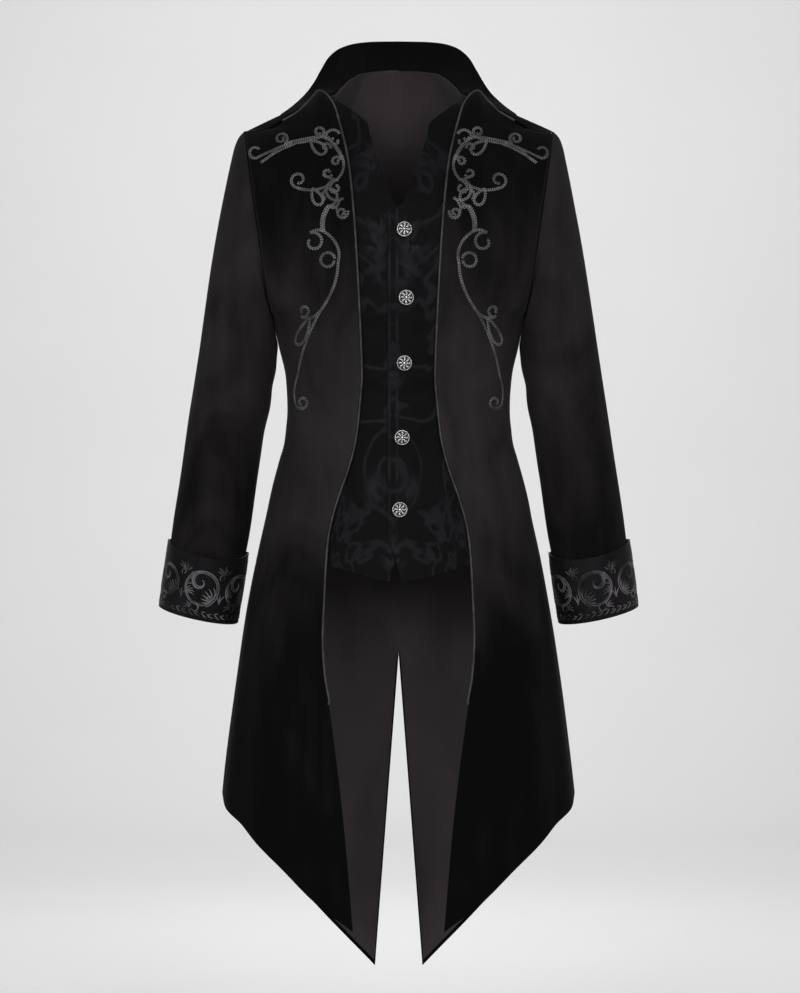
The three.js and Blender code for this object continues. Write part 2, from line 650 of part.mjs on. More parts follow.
// A closed tube of round section along points, its ends flat
function tube(points, diameter, sides) {
  const path = points.map((p, i) => {
    const ahead = points[Math.min(i + 1, points.length - 1)];
    const behind = points[Math.max(i - 1, 0)];
    return { p, along: ahead.clone().sub(behind).normalize() };
  });
  let across = new THREE.Vector3(0, 1, 0);
  const rings = path.map(({ p, along }) => {
    across = across.clone().addScaledVector(along, -across.dot(along)).normalize();
    const up = along.clone().cross(across);
    return Array.from({ length: sides }, (_, k) => {
      const turn = (2 * Math.PI * k) / sides;
      return p
        .clone()
        .addScaledVector(across, (Math.cos(turn) * diameter) / 2)
        .addScaledVector(up, (Math.sin(turn) * diameter) / 2);
    });
  });
  const vertices = rings.flat();
  const triangles = [];
  for (let r = 0; r < rings.length - 1; r++) {
    for (let k = 0; k < sides; k++) {
      const n = (k + 1) % sides;
      const [a, b, c, d] = [r * sides + k, r * sides + n, (r + 1) * sides + n, (r + 1) * sides + k];
      triangles.push(a, b, c, a, c, d);
    }
  }
  const top = (rings.length - 1) * sides;
  for (let k = 1; k < sides - 1; k++) triangles.push(0, k + 1, k, top, top + k, top + k + 1);
  return facingOut(vertices, triangles);
}

// The piping lies against the front panel's free edge up to the peak, then along the shoulder seam to the collar's tip
function pipingPath() {
  const edge = frontPoints.filter((row) => row[0].z >= PIPING_END - 5).map((row) => [row[0], row[1]]);
  const [under, seam] = frontPoints.slice(-2);
  const top = [1, 2, 3, 4].map((c) => [seam[c], under[c]]).filter(([p]) => p.x < COLLAR_TIP - 4);
  const [inside, beyond] = [top.at(-1), [seam[top.length + 1], under[top.length + 1]]];
  const part = (COLLAR_TIP - inside[0].x) / (beyond[0].x - inside[0].x);
  const path = [...edge, ...top, [0, 1].map((i) => inside[i].clone().lerp(beyond[i], part))];
  const reach = PIPING_DIAMETER / 2 + SEAM_GAP;
  return path.map(([p, within], i) => {
    const rise = i < edge.length ? -VELVET / 2 : PIPING_PROUD;
    const [ahead, behind] = [path[Math.min(i + 1, path.length - 1)][0], path[Math.max(i - 1, 0)][0]];
    const along = ahead.clone().sub(behind).normalize();
    const off = p.clone().sub(within);
    off.addScaledVector(along, -off.dot(along)).normalize();
    const thick = along.clone().cross(off);
    if (thick.dot(fromAxis(p)) < 0) thick.negate();
    return p.clone().addScaledVector(off, reach).addScaledVector(thick, rise);
  });
}

// A domed button with a rim and a short shank, its face along +Y
function buttonGeometry() {
  const { radius, rim, dome, shank, shankRadius } = BUTTON;
  const profile = [
    [0, -shank],
    [shankRadius, -shank],
    [shankRadius, 0],
    [radius - 1, 0],
    [radius, rim * 0.4],
    [radius, rim],
    [radius * 0.8, rim + dome * 0.42],
    [radius * 0.5, rim + dome * 0.78],
    [radius * 0.22, rim + dome * 0.96],
    [0, rim + dome],
  ].map(([r, h]) => new THREE.Vector2(r, h));
  return new THREE.LatheGeometry(profile, 14);
}

// The lapped waistcoat front's outer surface and the direction that it faces
function waistcoatFace(x, z) {
  const overX = onFace(INNER_FRONT, x + 5, z).sub(onFace(INNER_FRONT, x - 5, z));
  const overZ = onFace(INNER_FRONT, x, z + 5).sub(onFace(INNER_FRONT, x, z - 5));
  const out = overX.cross(overZ).normalize();
  return { out, point: onFace(INNER_FRONT, x, z).addScaledVector(out, LAP_STEP.over - WAISTCOAT_DEPTH) };
}

const material = (color, roughness, metalness = 0) =>
  new THREE.MeshStandardMaterial({ color, roughness, metalness, side: THREE.DoubleSide });
const velvet = material(0x0d0c0e, 0.85);
const liningCloth = material(0x2b2728, 0.55);
const jacquard = material(0x101016, 0.5);
const satin = material(0x3a393c, 0.45);
const metal = material(0xb9bbbe, 0.3, 1);

const coat = new THREE.Group();
coat.position.set(0, -NAPE.y, -NAPE.z);
const add = (name, geometry, look) => {
  const mesh = new THREE.Mesh(geometry, look.clone());
  mesh.name = name;
  coat.add(mesh);
};
const addPair = (name, geometry, look) => {
  add(name + "_left", geometry, look);
  add(name + "_right", mirrored(geometry), look);
};

addPair("front", frontPanel, velvet);
addPair("back", backPanel, velvet);
addPair("back_lining", backLining, liningCloth);
add("waistcoat_left", wall(waistcoatGrid(LAPPED_EDGE, LAP_STEP.over), WAISTCOAT_CLOTH), jacquard);
add("waistcoat_right", mirrored(wall(waistcoatGrid(UNDER_EDGE, LAP_STEP.under), WAISTCOAT_CLOTH)), jacquard);
const clearOfArmhole = (p, ring) => ring === 0 && p.setX(Math.max(p.x, halfWidth(p.z) + 2 * SEAM_GAP));
addPair("sleeve", ringWall(ringGrid(SLEEVE, 1, 18), SLEEVE_CLOTH, clearOfArmhole), velvet);
addPair("cuff", ringWall(ringGrid(CUFF, 1, 18), CUFF_CLOTH), jacquard);
add("collar", wall(collarGrid(), COLLAR_CLOTH), velvet);
addPair("piping", tube(pipingPath(), PIPING_DIAMETER, 5), satin);

for (const [i, { x, z }] of BUTTONS.entries()) {
  const { out, point } = waistcoatFace(x, z);
  const turn = new THREE.Quaternion().setFromUnitVectors(new THREE.Vector3(0, 1, 0), out);
  const seat = point.addScaledVector(out, BUTTON.shank + SEAM_GAP);
  add(`button_${i + 1}`, buttonGeometry().applyQuaternion(turn).translate(seat.x, seat.y, seat.z), metal);
}

export default coat;
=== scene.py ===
"""A man's long black velvet tailcoat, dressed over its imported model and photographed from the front.

The coat stands hollow, as it is worn: velvet fronts and backs, a satin back lining, false waistcoat fronts in
figured satin with five metal buttons, a stand collar, piped edges, chain-stitched scrolls and turned-back
cuffs.
Shapes are worked out in millimetres, with heights from the nape and depths from the line between the shoulder
points. Cloth.place moves them into the frame, in metres.
"""

import logging
import math
from collections.abc import Callable, Sequence
from dataclasses import dataclass, field
from enum import Enum
from typing import Self

import bpy
import numpy as np
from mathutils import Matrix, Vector
from mathutils.bvhtree import BVHTree


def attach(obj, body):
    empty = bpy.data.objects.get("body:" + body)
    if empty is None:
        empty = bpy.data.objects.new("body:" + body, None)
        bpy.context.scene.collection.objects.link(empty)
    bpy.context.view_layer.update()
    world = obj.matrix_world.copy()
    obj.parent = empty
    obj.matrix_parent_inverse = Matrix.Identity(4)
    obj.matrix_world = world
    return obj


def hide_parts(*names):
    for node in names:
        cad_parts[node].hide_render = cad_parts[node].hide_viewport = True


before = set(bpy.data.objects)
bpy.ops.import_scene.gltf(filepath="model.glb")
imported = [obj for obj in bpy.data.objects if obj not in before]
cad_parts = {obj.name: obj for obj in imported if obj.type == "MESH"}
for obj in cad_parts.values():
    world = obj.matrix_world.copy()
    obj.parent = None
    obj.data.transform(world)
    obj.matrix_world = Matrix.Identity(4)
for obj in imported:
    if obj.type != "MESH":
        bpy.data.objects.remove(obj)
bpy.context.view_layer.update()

LOG = logging.getLogger("tailcoat")
Array = np.ndarray
MM = 0.001
NAPE = np.array([0.0, 64.8, -3.0])
SEAM_GAP = 0.3
MEETING = 0.05
UNDERARM = -340.0
ROUNDNESS = 2.3
ARCH = 2.6


@dataclass(frozen=True)
class Section:
    """A level cut through the coat's shell: half its width, and the depth of its front and back."""

    z: float
    half: float
    front: float
    back: float


@dataclass(frozen=True)
class Ridge:
    """Height of the line over the shoulder, for the back, the front and the waistcoat."""

    x: float
    back: float
    front: float
    waistcoat: float


@dataclass(frozen=True)
class Flute:
    """A soft vertical wave of the skirt, placed by its share of the panel's width."""

    at: float
    spread: float
    depth: float


@dataclass(frozen=True)
class Crease:
    """A soft ridge (depth above 0) or trough in the cloth between two places, seen from the front or side."""

    from_x: float
    from_z: float
    to_x: float
    to_z: float
    width: float
    depth: float


@dataclass(frozen=True)
class Ring:
    """A cut through a sleeve or cuff: its points on the outer arm and under it, its depth and its dip."""

    out_x: float
    out_z: float
    in_x: float
    in_z: float
    y: float
    deep: float
    dip: float = 0.0


BODY = (
    Section(-1240, 255, 166, 170),
    Section(-1134, 247, 160, 166),
    Section(-982, 235, 153, 157),
    Section(-875, 223, 146, 146),
    Section(-769, 208, 139, 135),
    Section(-663, 189.5, 130, 122),
    Section(-609, 177.6, 124, 114),
    Section(-556, 165.6, 120, 106),
    Section(-530, 158.5, 118, 101),
    Section(-503, 151.5, 117, 96),
    Section(-463, 148, 117, 93),
    Section(-423, 149.8, 120, 96),
    Section(-376, 160, 123, 102),
    Section(-340, 167.5, 125, 106),
    Section(-216, 185.5, 126, 113),
    Section(-92, 203.5, 119, 113),
    Section(0, 216.9, 118, 108),
)

RIDGE = (
    Ridge(0, 60, 0, 0),
    Ridge(25, 53, -11, -11),
    Ridge(51, 34, -24, -24),
    Ridge(67, 0, -33, -33),
    Ridge(79, -27, -39, -39),
    Ridge(87, -42, -40, -42),
    Ridge(95, -45, -38, -45),
    Ridge(104, -47.5, -37, -47.5),
    Ridge(118, -53, -50, -53),
    Ridge(132, -59.5, -59.5, -59.5),
    Ridge(157, -71, -71, -71),
    Ridge(206, -93.5, -93.5, -93.5),
)

# Each pair is a height and a distance from the centre
FRONT_EDGE = (
    (-1134, 58.3), (-1034, 66.6), (-970, 73.1), (-905, 81.4), (-840, 91), (-811, 96.5), (-760, 99.8),
    (-707, 97.8), (-641, 94), (-613, 89.6), (-575, 78.7), (-544, 67.5), (-503, 57), (-454, 51.6),
    (-423, 49.2), (-382, 50.4), (-313, 53.5), (-212, 59.8), (-145, 66.8), (-86, 80), (-61, 87.5),
    (-50, 94), (-44, 99), (-40, 104),
)
PIPING_END = -844.0
PIPING_DIAMETER = 3.0
VENT_TOP = -794.0
VENT_OPENING = 33.0

# Each pair is a distance from the centre and a height
FRONT_HEM = ((50, -1142), (58.3, -1134), (94, -1108), (201, -1007), (226, -984), (236, -964), (240, -950))
BACK_HEM = ((20, -1243), (33, -1229), (102, -1156), (210, -1024), (228, -1000), (236, -966), (240, -950))
WAISTCOAT_HEM = ((-16, -689), (3, -688), (16, -687), (57, -676), (92, -667), (190, -650))

# Each pair is a distance from the centre and the seam's depth ahead of the shoulder line
SHOULDER_SEAM = ((104, 20), (118, 24), (132, 31), (157, 30), (206, 24))

# Each pair is a sweep, 1 on top of the shoulder, and a distance from the centre
NECKLINE = ((0.638, 0.15), (0.65, 24), (0.694, 51), (0.79, 67), (0.89, 79), (1.0, 87), (1.1, 92))

FRONT_FLUTES = (Flute(0.16, 0.09, 3.5), Flute(0.43, 0.12, 6), Flute(0.74, 0.1, 4.5))
BACK_FLUTES = (Flute(0.12, 0.08, 5), Flute(0.36, 0.11, 7), Flute(0.66, 0.12, 5))
FLUTES_START = -520.0
FLUTES_FULL = -1050.0


class Curve:
    """A smooth curve with no overshoot through a table's pairs, straight beyond both ends."""

    def __init__(self, pairs: Sequence[tuple[float, float]]) -> None:
        """Works out the tangent at each pair.

        Args:
            pairs: The places and their values, in rising order of place.
        """
        self.x, self.y = (np.array(column, float) for column in zip(*pairs))
        step = np.diff(self.x)
        slope = np.diff(self.y) / step
        inner = np.zeros(len(self.x))
        for i in range(1, len(slope)):
            before, after = step[i - 1], step[i]
            if slope[i - 1] * slope[i] > 0:
                weights = (2 * after + before) / slope[i - 1] + (after + 2 * before) / slope[i]
                inner[i] = 3 * (before + after) / weights
        inner[0], inner[-1] = slope[0], slope[-1]
        self.tangent = inner

    def __call__(self, value: Array | float) -> Array:
        """The curve's height at each value."""
        value = np.asarray(value, float)
        i = np.clip(np.searchsorted(self.x, value) - 1, 0, len(self.x) - 2)
        span = self.x[i + 1] - self.x[i]
        t = np.clip((value - self.x[i]) / span, 0, 1)
        rise = t * t * (3 - 2 * t)
        bend = t * (1 - t) ** 2 * span * self.tangent[i] + t * t * (t - 1) * span * self.tangent[i + 1]
        made = self.y[i] + (self.y[i + 1] - self.y[i]) * rise + bend
        below = np.minimum(value - self.x[0], 0) * self.tangent[0]
        above = np.maximum(value - self.x[-1], 0) * self.tangent[-1]
        return made + below + above


def column(rows: Sequence[object], place: str, value: str) -> Curve:
    """A curve through two named fields of a table's rows."""
    return Curve([(getattr(row, place), getattr(row, value)) for row in rows])


def mix(a: Array | float, b: Array | float, share: Array | float) -> Array:
    """A blend of two values, a at share 0 and b at share 1."""
    return a + (b - a) * share


@dataclass(frozen=True)
class Face:
    """The front or the back of the coat's shell."""

    turn: int
    depth: Curve
    ridge: Curve


HALF_WIDTH = column(BODY, "z", "half")
FRONT = Face(-1, column(BODY, "z", "front"), column(RIDGE, "x", "front"))
BACK = Face(1, column(BODY, "z", "back"), column(RIDGE, "x", "back"))
OVER_SHOULDER = Face(-1, FRONT.depth, BACK.ridge)
INNER_FRONT = Face(-1, FRONT.depth, column(RIDGE, "x", "waistcoat"))


class Shell:
    """The coat's surface: where a face lies, and the panels laid out on it."""

    ARMHOLE_MIDDLE = -216.0
    ARMHOLE_HALF_HEIGHT = 124.0
    ARMHOLE_HALF_DEPTH = 72.0
    PASSES = 60

    seam = Curve(SHOULDER_SEAM)
    neckline = Curve(NECKLINE)
    front_edge = Curve(FRONT_EDGE)
    front_hem = Curve(FRONT_HEM)
    back_hem = Curve(BACK_HEM)

    @classmethod
    def armhole(cls, z: Array) -> Array:
        """Half the armhole's depth at a height."""
        rise = np.clip((z - cls.ARMHOLE_MIDDLE) / cls.ARMHOLE_HALF_HEIGHT, -1, 1)
        return cls.ARMHOLE_HALF_DEPTH * np.sqrt(1 - rise * rise)

    @classmethod
    def depth(cls, face: Face, x: Array, z: Array) -> Array:
        """How far a face stands from the shoulder line at a place.

        Args:
            face: The front or back.
            x: Distances from the centre.
            z: Heights.

        Returns:
            The depths, all positive.
        """
        x, z = np.broadcast_arrays(np.abs(x).astype(float), np.asarray(z, float))
        across = np.minimum(1, x / HALF_WIDTH(z))
        section = np.sqrt(1 - across**ROUNDNESS)
        rise = np.clip((z - UNDERARM) / (face.ridge(x) - UNDERARM), 0, 1)
        arch = np.sqrt(1 - rise**ARCH)
        above = face.depth(z) * arch * section + cls.armhole(z) * across**6
        return np.where(z <= UNDERARM, face.depth(z) * section, above)

    @classmethod
    def point(cls, face: Face, x: Array, z: Array) -> Array:
        """The points of a face at places seen from the front."""
        x, z = np.broadcast_arrays(np.asarray(x, float), np.asarray(z, float))
        return np.stack([x, face.turn * cls.depth(face, x, z), z], -1)

    @classmethod
    def swept(cls, face: Face, x: Array, sweep: Array) -> Array:
        """Heights at a sweep up from the underarm, 1 being the top."""
        lift = np.sin(np.minimum(sweep, 2 - sweep) * math.pi / 2)
        return UNDERARM + (face.ridge(np.abs(x)) - UNDERARM) * lift

    @staticmethod
    def across(face: Face, inner: Array, z: Array, share: Array) -> Array:
        """Distances at a share of the way from a panel's inner edge to the side seam or armhole."""
        half = HALF_WIDTH(z)
        start = np.arcsin(np.clip(inner / half, -1, 1))
        stop = math.pi / 2 - np.where(z > UNDERARM, 0, SEAM_GAP / 2 / face.depth(z))
        return half * np.sin(mix(start, stop, share))

    @classmethod
    def vent_edge(cls, z: Array) -> Array:
        """The back panel's inner edge, which leaves the centre at the top of the vent."""
        return -MEETING + VENT_OPENING * np.maximum(0, VENT_TOP - z) / (VENT_TOP - BACK_HEM[1][1])

    @classmethod
    def lower(
        cls, face: Face, inner: Curve, hem: Curve, flutes: Sequence[Flute], shares: Array, rises: Array
    ) -> Array:
        """A panel's points below the underarm.

        Args:
            face: The front or back.
            inner: The inner edge's distance from the centre at a height.
            hem: The hem's height at a distance.
            flutes: The skirt's soft waves.
            shares: Columns, 0 at the inner edge and 1 at the side seam.
            rises: Rows, 0 at the hem and 1 at the underarm.

        Returns:
            A grid of points, rows by columns.
        """
        bottom = hem(np.full(len(shares), 100.0))
        for _ in range(cls.PASSES):
            bottom = mix(bottom, hem(cls.across(face, inner(bottom), bottom, shares)), 0.6)
        z = mix(bottom[None, :], UNDERARM, rises[:, None])
        share = np.broadcast_to(shares, z.shape)
        points = cls.point(face, cls.across(face, inner(z), z, share), z)
        fall = np.clip((FLUTES_START - z) / (FLUTES_START - FLUTES_FULL), 0, 1)
        swell = sum(f.depth * np.exp(-(((share - f.at) / f.spread) ** 2)) for f in flutes)
        out = np.stack([points[..., 0] / HALF_WIDTH(z) ** 2, points[..., 1] / face.depth(z) ** 2, 0 * z], -1)
        out /= np.linalg.norm(out, axis=-1, keepdims=True)
        amount = swell * fall * np.sin(math.pi * np.minimum(share, 1)).clip(0) ** 0.5
        return points + out * amount[..., None]

    @classmethod
    def upper(cls, face: Face, inner: Callable, shares: Array, sweeps: Array) -> Array:
        """A panel's points above the underarm, where sweeps has a row for each row of points."""
        z = np.full(sweeps.shape, UNDERARM)
        x = z
        for _ in range(cls.PASSES):
            x = cls.across(face, inner(z, sweeps), z, shares)
            z = mix(z, cls.swept(face, x, sweeps), 0.6)
        return cls.point(face, x, z)

    @classmethod
    def sweep_at(cls, face: Face, inner: Callable, shares: Array, depth_at: Callable) -> Array:
        """The sweep at which a face has come in to a given depth, for each column."""
        low, high = np.full(len(shares), 0.5), np.ones(len(shares))
        for _ in range(26):
            middle = (low + high) / 2
            point = cls.upper(face, inner, shares, middle)
            outside = np.abs(point[:, 1]) > depth_at(np.abs(point[:, 0]))
            low, high = np.where(outside, middle, low), np.where(outside, high, middle)
        return low

    @classmethod
    def front(cls, shares: Array, rises: Array, lifts: Array) -> Array:
        """The front panel's outer points."""
        low = cls.lower(FRONT, cls.front_edge, cls.front_hem, FRONT_FLUTES, shares, rises)
        top = cls.sweep_at(FRONT, lambda z, _: cls.front_edge(z), shares, cls.seam)
        grid = np.broadcast_to(shares, (len(lifts), len(shares)))
        high = cls.upper(FRONT, lambda z, _: cls.front_edge(z), grid, lifts[:, None] * top[None, :])
        return np.concatenate([low, high])

    @classmethod
    def back(cls, shares: Array, rises: Array, sweeps: Array, seam_back: float) -> Array:
        """The back panel's outer points, up over the shoulder to the seam.

        Args:
            shares: Columns from the centre back to the side seam.
            rises: Rows below the underarm.
            sweeps: Rows above it, to 1 on top of the shoulder and on to 2 at the seam.
            seam_back: How far behind the seam's line the panel ends.

        Returns:
            A grid of points.
        """
        low = cls.lower(BACK, cls.vent_edge, cls.back_hem, BACK_FLUTES, shares, rises)
        edge = lambda z, _: NECKLINE[-1][1]
        reach = 2 - cls.sweep_at(OVER_SHOULDER, edge, shares, lambda x: cls.seam(x) - seam_back)
        rows = []
        for sweep in sweeps:
            stops = mix(1.0, reach, sweep - 1) if sweep > 1 else np.full(len(shares), sweep)
            face = OVER_SHOULDER if sweep > 1 else BACK
            neck = cls.neckline(1 + (sweep - 1) * 0.1 if sweep > 1 else sweep)
            started = sweep > NECKLINE[0][0]
            inner = (lambda z, _, n=neck: n) if started else (lambda z, _: cls.vent_edge(z))
            rows.append(cls.upper(face, inner, shares, stops))
        return np.concatenate([low, np.stack(rows)])


class Cloth:
    """Turns grids of points into thin shells of cloth and puts them into the frame."""

    @staticmethod
    def place(points: Array) -> Array:
        """Points in the frame, in metres."""
        return (points.reshape(-1, 3) - NAPE) * MM

    @staticmethod
    def normals(grid: Array, wrap: bool, away: Array) -> Array:
        """Unit directions out of a grid of points.

        Args:
            grid: Points, rows by columns.
            wrap: Whether the last column meets the first.
            away: A vector out of the coat at each point, which settles the side.

        Returns:
            A direction for each point.
        """
        along = np.gradient(grid, axis=0)
        over = np.roll(grid, -1, 1) - np.roll(grid, 1, 1) if wrap else np.gradient(grid, axis=1)
        out = np.cross(along, over)
        out /= np.maximum(np.linalg.norm(out, axis=-1, keepdims=True), 1e-9)
        return out * np.sign(np.sum(out * away))

    @staticmethod
    def away(grid: Array, wrap: bool) -> Array:
        """Vectors out of the coat, or out of the tube where the grid wraps."""
        if wrap:
            return grid - grid.mean(axis=1, keepdims=True)
        return grid * np.array([1.0, 1.0, 0.0])

    @classmethod
    def moved(cls, grid: Array, amount: Array | float, wrap: bool = False) -> Array:
        """A grid moved out along its own directions."""
        out = cls.normals(grid, wrap, cls.away(grid, wrap))
        return grid + out * np.broadcast_to(amount, grid.shape[:2])[..., None]

    @staticmethod
    def spans(grid: Array) -> tuple[Array, Array]:
        """Distances across and up the cloth, in metres, for each column and row."""
        over = np.linalg.norm(np.diff(grid, axis=1), axis=-1).mean(axis=0)
        along = np.linalg.norm(np.diff(grid, axis=0), axis=-1).mean(axis=1)
        return np.concatenate([[0], np.cumsum(over)]) * MM, np.concatenate([[0], np.cumsum(along)]) * MM

    @classmethod
    def shell(
        cls,
        name: str,
        grid: Array,
        thickness: float | Array,
        wrap: bool = False,
        trim: Callable | None = None,
    ) -> bpy.types.Object:
        """A closed shell of cloth between a grid and the same grid moved in.

        Args:
            name: The piece's name.
            grid: Its outer points in millimetres.
            thickness: The cloth's thickness.
            wrap: Whether it is a tube.
            trim: Keeps the inner points clear of a neighbour across a seam.

        Returns:
            The object, in the frame.
        """
        inner = cls.moved(grid, -thickness, wrap)
        if trim is not None:
            inner = trim(inner)
        rows, cols = grid.shape[:2]
        layer = rows * cols
        index = np.arange(layer).reshape(rows, cols)
        ahead = np.roll(index, -1, 1) if wrap else index[:, 1:]
        here = index if wrap else index[:, :-1]
        outer = np.stack([here[:-1], ahead[:-1], ahead[1:], here[1:]], -1).reshape(-1, 4)
        faces = [outer, outer[:, ::-1] + layer]
        for row, flip in ((0, False), (-1, True)):
            rim = np.stack([here[row], here[row] + layer, ahead[row] + layer, ahead[row]], -1)
            faces.append(rim[:, ::-1] if flip else rim)
        if not wrap:
            for col, flip in ((0, True), (-1, False)):
                edge = index[:, col]
                rim = np.stack([edge[:-1], edge[:-1] + layer, edge[1:] + layer, edge[1:]], -1)
                faces.append(rim[:, ::-1] if flip else rim)
        points = np.concatenate([grid.reshape(-1, 3), inner.reshape(-1, 3)])
        piece = cls.mesh(name, points, np.concatenate(faces))
        over, along = cls.spans(grid)
        chart = np.stack(np.meshgrid(over, along), -1).reshape(-1, 2)
        cls.chart(piece, np.concatenate([chart, chart]))
        return piece

    @classmethod
    def mesh(cls, name: str, points: Array, faces: Array) -> bpy.types.Object:
        """A smooth mesh object whose faces all point out.

        Args:
            name: The object's name.
            points: Its vertices in millimetres.
            faces: Rows of vertex numbers.

        Returns:
            The object, linked to the scene.
        """
        made = bpy.data.meshes.new(name)
        made.from_pydata(cls.place(points).tolist(), [], faces.tolist())
        made.validate()
        flat = points[faces[:, :3]]
        volume = np.sum(np.einsum("ij,ij->i", flat[:, 0], np.cross(flat[:, 1], flat[:, 2])))
        if faces.shape[1] == 4:
            flat = points[faces[:, [0, 2, 3]]]
            volume += np.sum(np.einsum("ij,ij->i", flat[:, 0], np.cross(flat[:, 1], flat[:, 2])))
        if volume < 0:
            made.flip_normals()
        made.polygons.foreach_set("use_smooth", np.ones(len(made.polygons), bool))
        made.set_sharp_from_angle(angle=math.radians(50))
        piece = bpy.data.objects.new(name, made)
        bpy.context.scene.collection.objects.link(piece)
        return piece

    @staticmethod
    def chart(piece: bpy.types.Object, places: Array) -> None:
        """Stores each vertex's place on the cloth, in metres, as the UV map that the weave follows."""
        loops = np.zeros(len(piece.data.loops), int)
        piece.data.loops.foreach_get("vertex_index", loops)
        layer = piece.data.uv_layers.new(name="cloth")
        layer.data.foreach_set("uv", places[loops].astype(np.float32).ravel())

    @staticmethod
    def mirrored(piece: bpy.types.Object, name: str) -> bpy.types.Object:
        """The same piece on the coat's other side."""
        data = piece.data.copy()
        points = np.zeros(len(data.vertices) * 3)
        data.vertices.foreach_get("co", points)
        data.vertices.foreach_set("co", (points.reshape(-1, 3) * [-1, 1, 1]).ravel())
        data.flip_normals()
        made = bpy.data.objects.new(name, data)
        bpy.context.scene.collection.objects.link(made)
        return made

    @staticmethod
    def soften(piece: bpy.types.Object, width: float) -> None:
        """Rounds the raw edges of a shell by a width in millimetres."""
        bevel = piece.modifiers.new("soft_edge", "BEVEL")
        bevel.width = width * MM
        bevel.segments = 2
        bevel.limit_method = "ANGLE"
        bevel.angle_limit = math.radians(50)
        bevel.harden_normals = False

    @staticmethod
    def cut(grid: Array) -> tuple[tuple[float, float], float]:
        """The flat width, length and area of a grid of cloth, in metres."""
        over = np.linalg.norm(np.diff(grid, axis=1), axis=-1).sum(axis=1).max() * MM
        along = np.linalg.norm(np.diff(grid, axis=0), axis=-1).sum(axis=0).max() * MM
        a, b = grid[1:, 1:] - grid[:-1, :-1], grid[1:, :-1] - grid[:-1, 1:]
        area = np.linalg.norm(np.cross(a, b), axis=-1).sum() / 2 * MM * MM
        return (float(over), float(along)), float(min(area, over * along))


class Drape:
    """The soft unevenness of worn cloth, as a height above the cut shape."""

    @staticmethod
    def creases(x: Array, z: Array, table: Sequence[Crease], side: int) -> Array:
        """The height of a table's creases at each place.

        Args:
            x: Distances across the cloth.
            z: Heights.
            table: The creases.
            side: 1 or -1; the two sides of the coat crease a little differently.

        Returns:
            Heights in millimetres.
        """
        made = np.zeros(np.broadcast(x, z).shape)
        for i, crease in enumerate(table):
            shift = side * 2.5 * math.sin(2.3 * i + 1)
            start = np.array([crease.from_x + shift, crease.from_z - 2 * shift])
            run = np.array([crease.to_x - shift, crease.to_z + shift]) - start
            t = ((x - start[0]) * run[0] + (z - start[1]) * run[1]) / (run @ run)
            held = np.clip(t, 0, 1)
            gap = np.hypot(x - start[0] - held * run[0], z - start[1] - held * run[1])
            fade = np.sin(math.pi * np.clip(0.08 + 0.84 * held, 0, 1))
            strength = crease.depth * (1 + 0.22 * side * math.sin(1.7 * i))
            made = made + strength * fade * np.exp(-((gap / crease.width) ** 2))
        return made

    @staticmethod
    def swell(u: Array, v: Array, phase: float, size: float) -> Array:
        """A slow unevenness over the whole cloth, from places in millimetres."""
        return size * (
            np.sin(u / 31 + v / 83 + phase)
            + 0.7 * np.sin(u / 19 - v / 57 + 2.1 * phase)
            + 0.45 * np.sin(v / 27 + u / 47 + 0.7 * phase)
        )


FRONT_CREASES = (
    Crease(78, -130, 160, -330, 22, 1.8),
    Crease(182, -170, 156, -335, 12, -2.2),
    Crease(172, -300, 120, -365, 10, 1.6),
    Crease(160, -345, 96, -392, 9, -1.4),
    Crease(146, -420, 72, -448, 8, 1.3),
    Crease(147, -448, 66, -492, 8, -1.7),
    Crease(150, -484, 84, -512, 7, 1.2),
    Crease(152, -505, 92, -560, 9, -1.4),
    Crease(168, -570, 120, -660, 16, 1.6),
    Crease(96, -700, 118, -900, 20, -1.8),
    Crease(132, -780, 140, -1010, 15, 1.6),
    Crease(84, -860, 74, -1080, 10, 1.5),
)
BACK_CREASES = (
    Crease(30, -60, 90, -170, 20, 1.6),
    Crease(176, -180, 150, -330, 13, -2.4),
    Crease(160, -330, 70, -400, 12, 1.8),
    Crease(150, -400, 50, -452, 9, -1.8),
    Crease(146, -436, 30, -474, 8, 1.4),
    Crease(148, -480, 60, -540, 10, -1.7),
    Crease(90, -620, 70, -900, 20, 2.0),
    Crease(150, -700, 170, -960, 18, -1.8),
)
WAISTCOAT_CREASES = (
    Crease(12, -236, 46, -262, 6, 1.0),
    Crease(14, -296, 52, -276, 6, -1.1),
    Crease(10, -330, 48, -352, 6, 1.1),
    Crease(12, -372, 50, -356, 7, -1.0),
    Crease(8, -412, 44, -434, 6, 1.2),
    Crease(6, -452, 42, -440, 7, -1.2),
    Crease(6, -498, 50, -480, 6, 1.1),
    Crease(4, -520, 56, -548, 8, -1.2),
    Crease(6, -596, 66, -574, 7, 1.2),
    Crease(8, -622, 76, -650, 9, -1.3),
    Crease(40, -120, 56, -230, 8, 1.1),
)


@dataclass(frozen=True)
class SleeveFold:
    """A fold across a sleeve: its ring, its angle round the arm, and its slant, width, reach and depth."""

    ring: float
    angle: float
    slant: float
    width: float
    reach: float
    depth: float


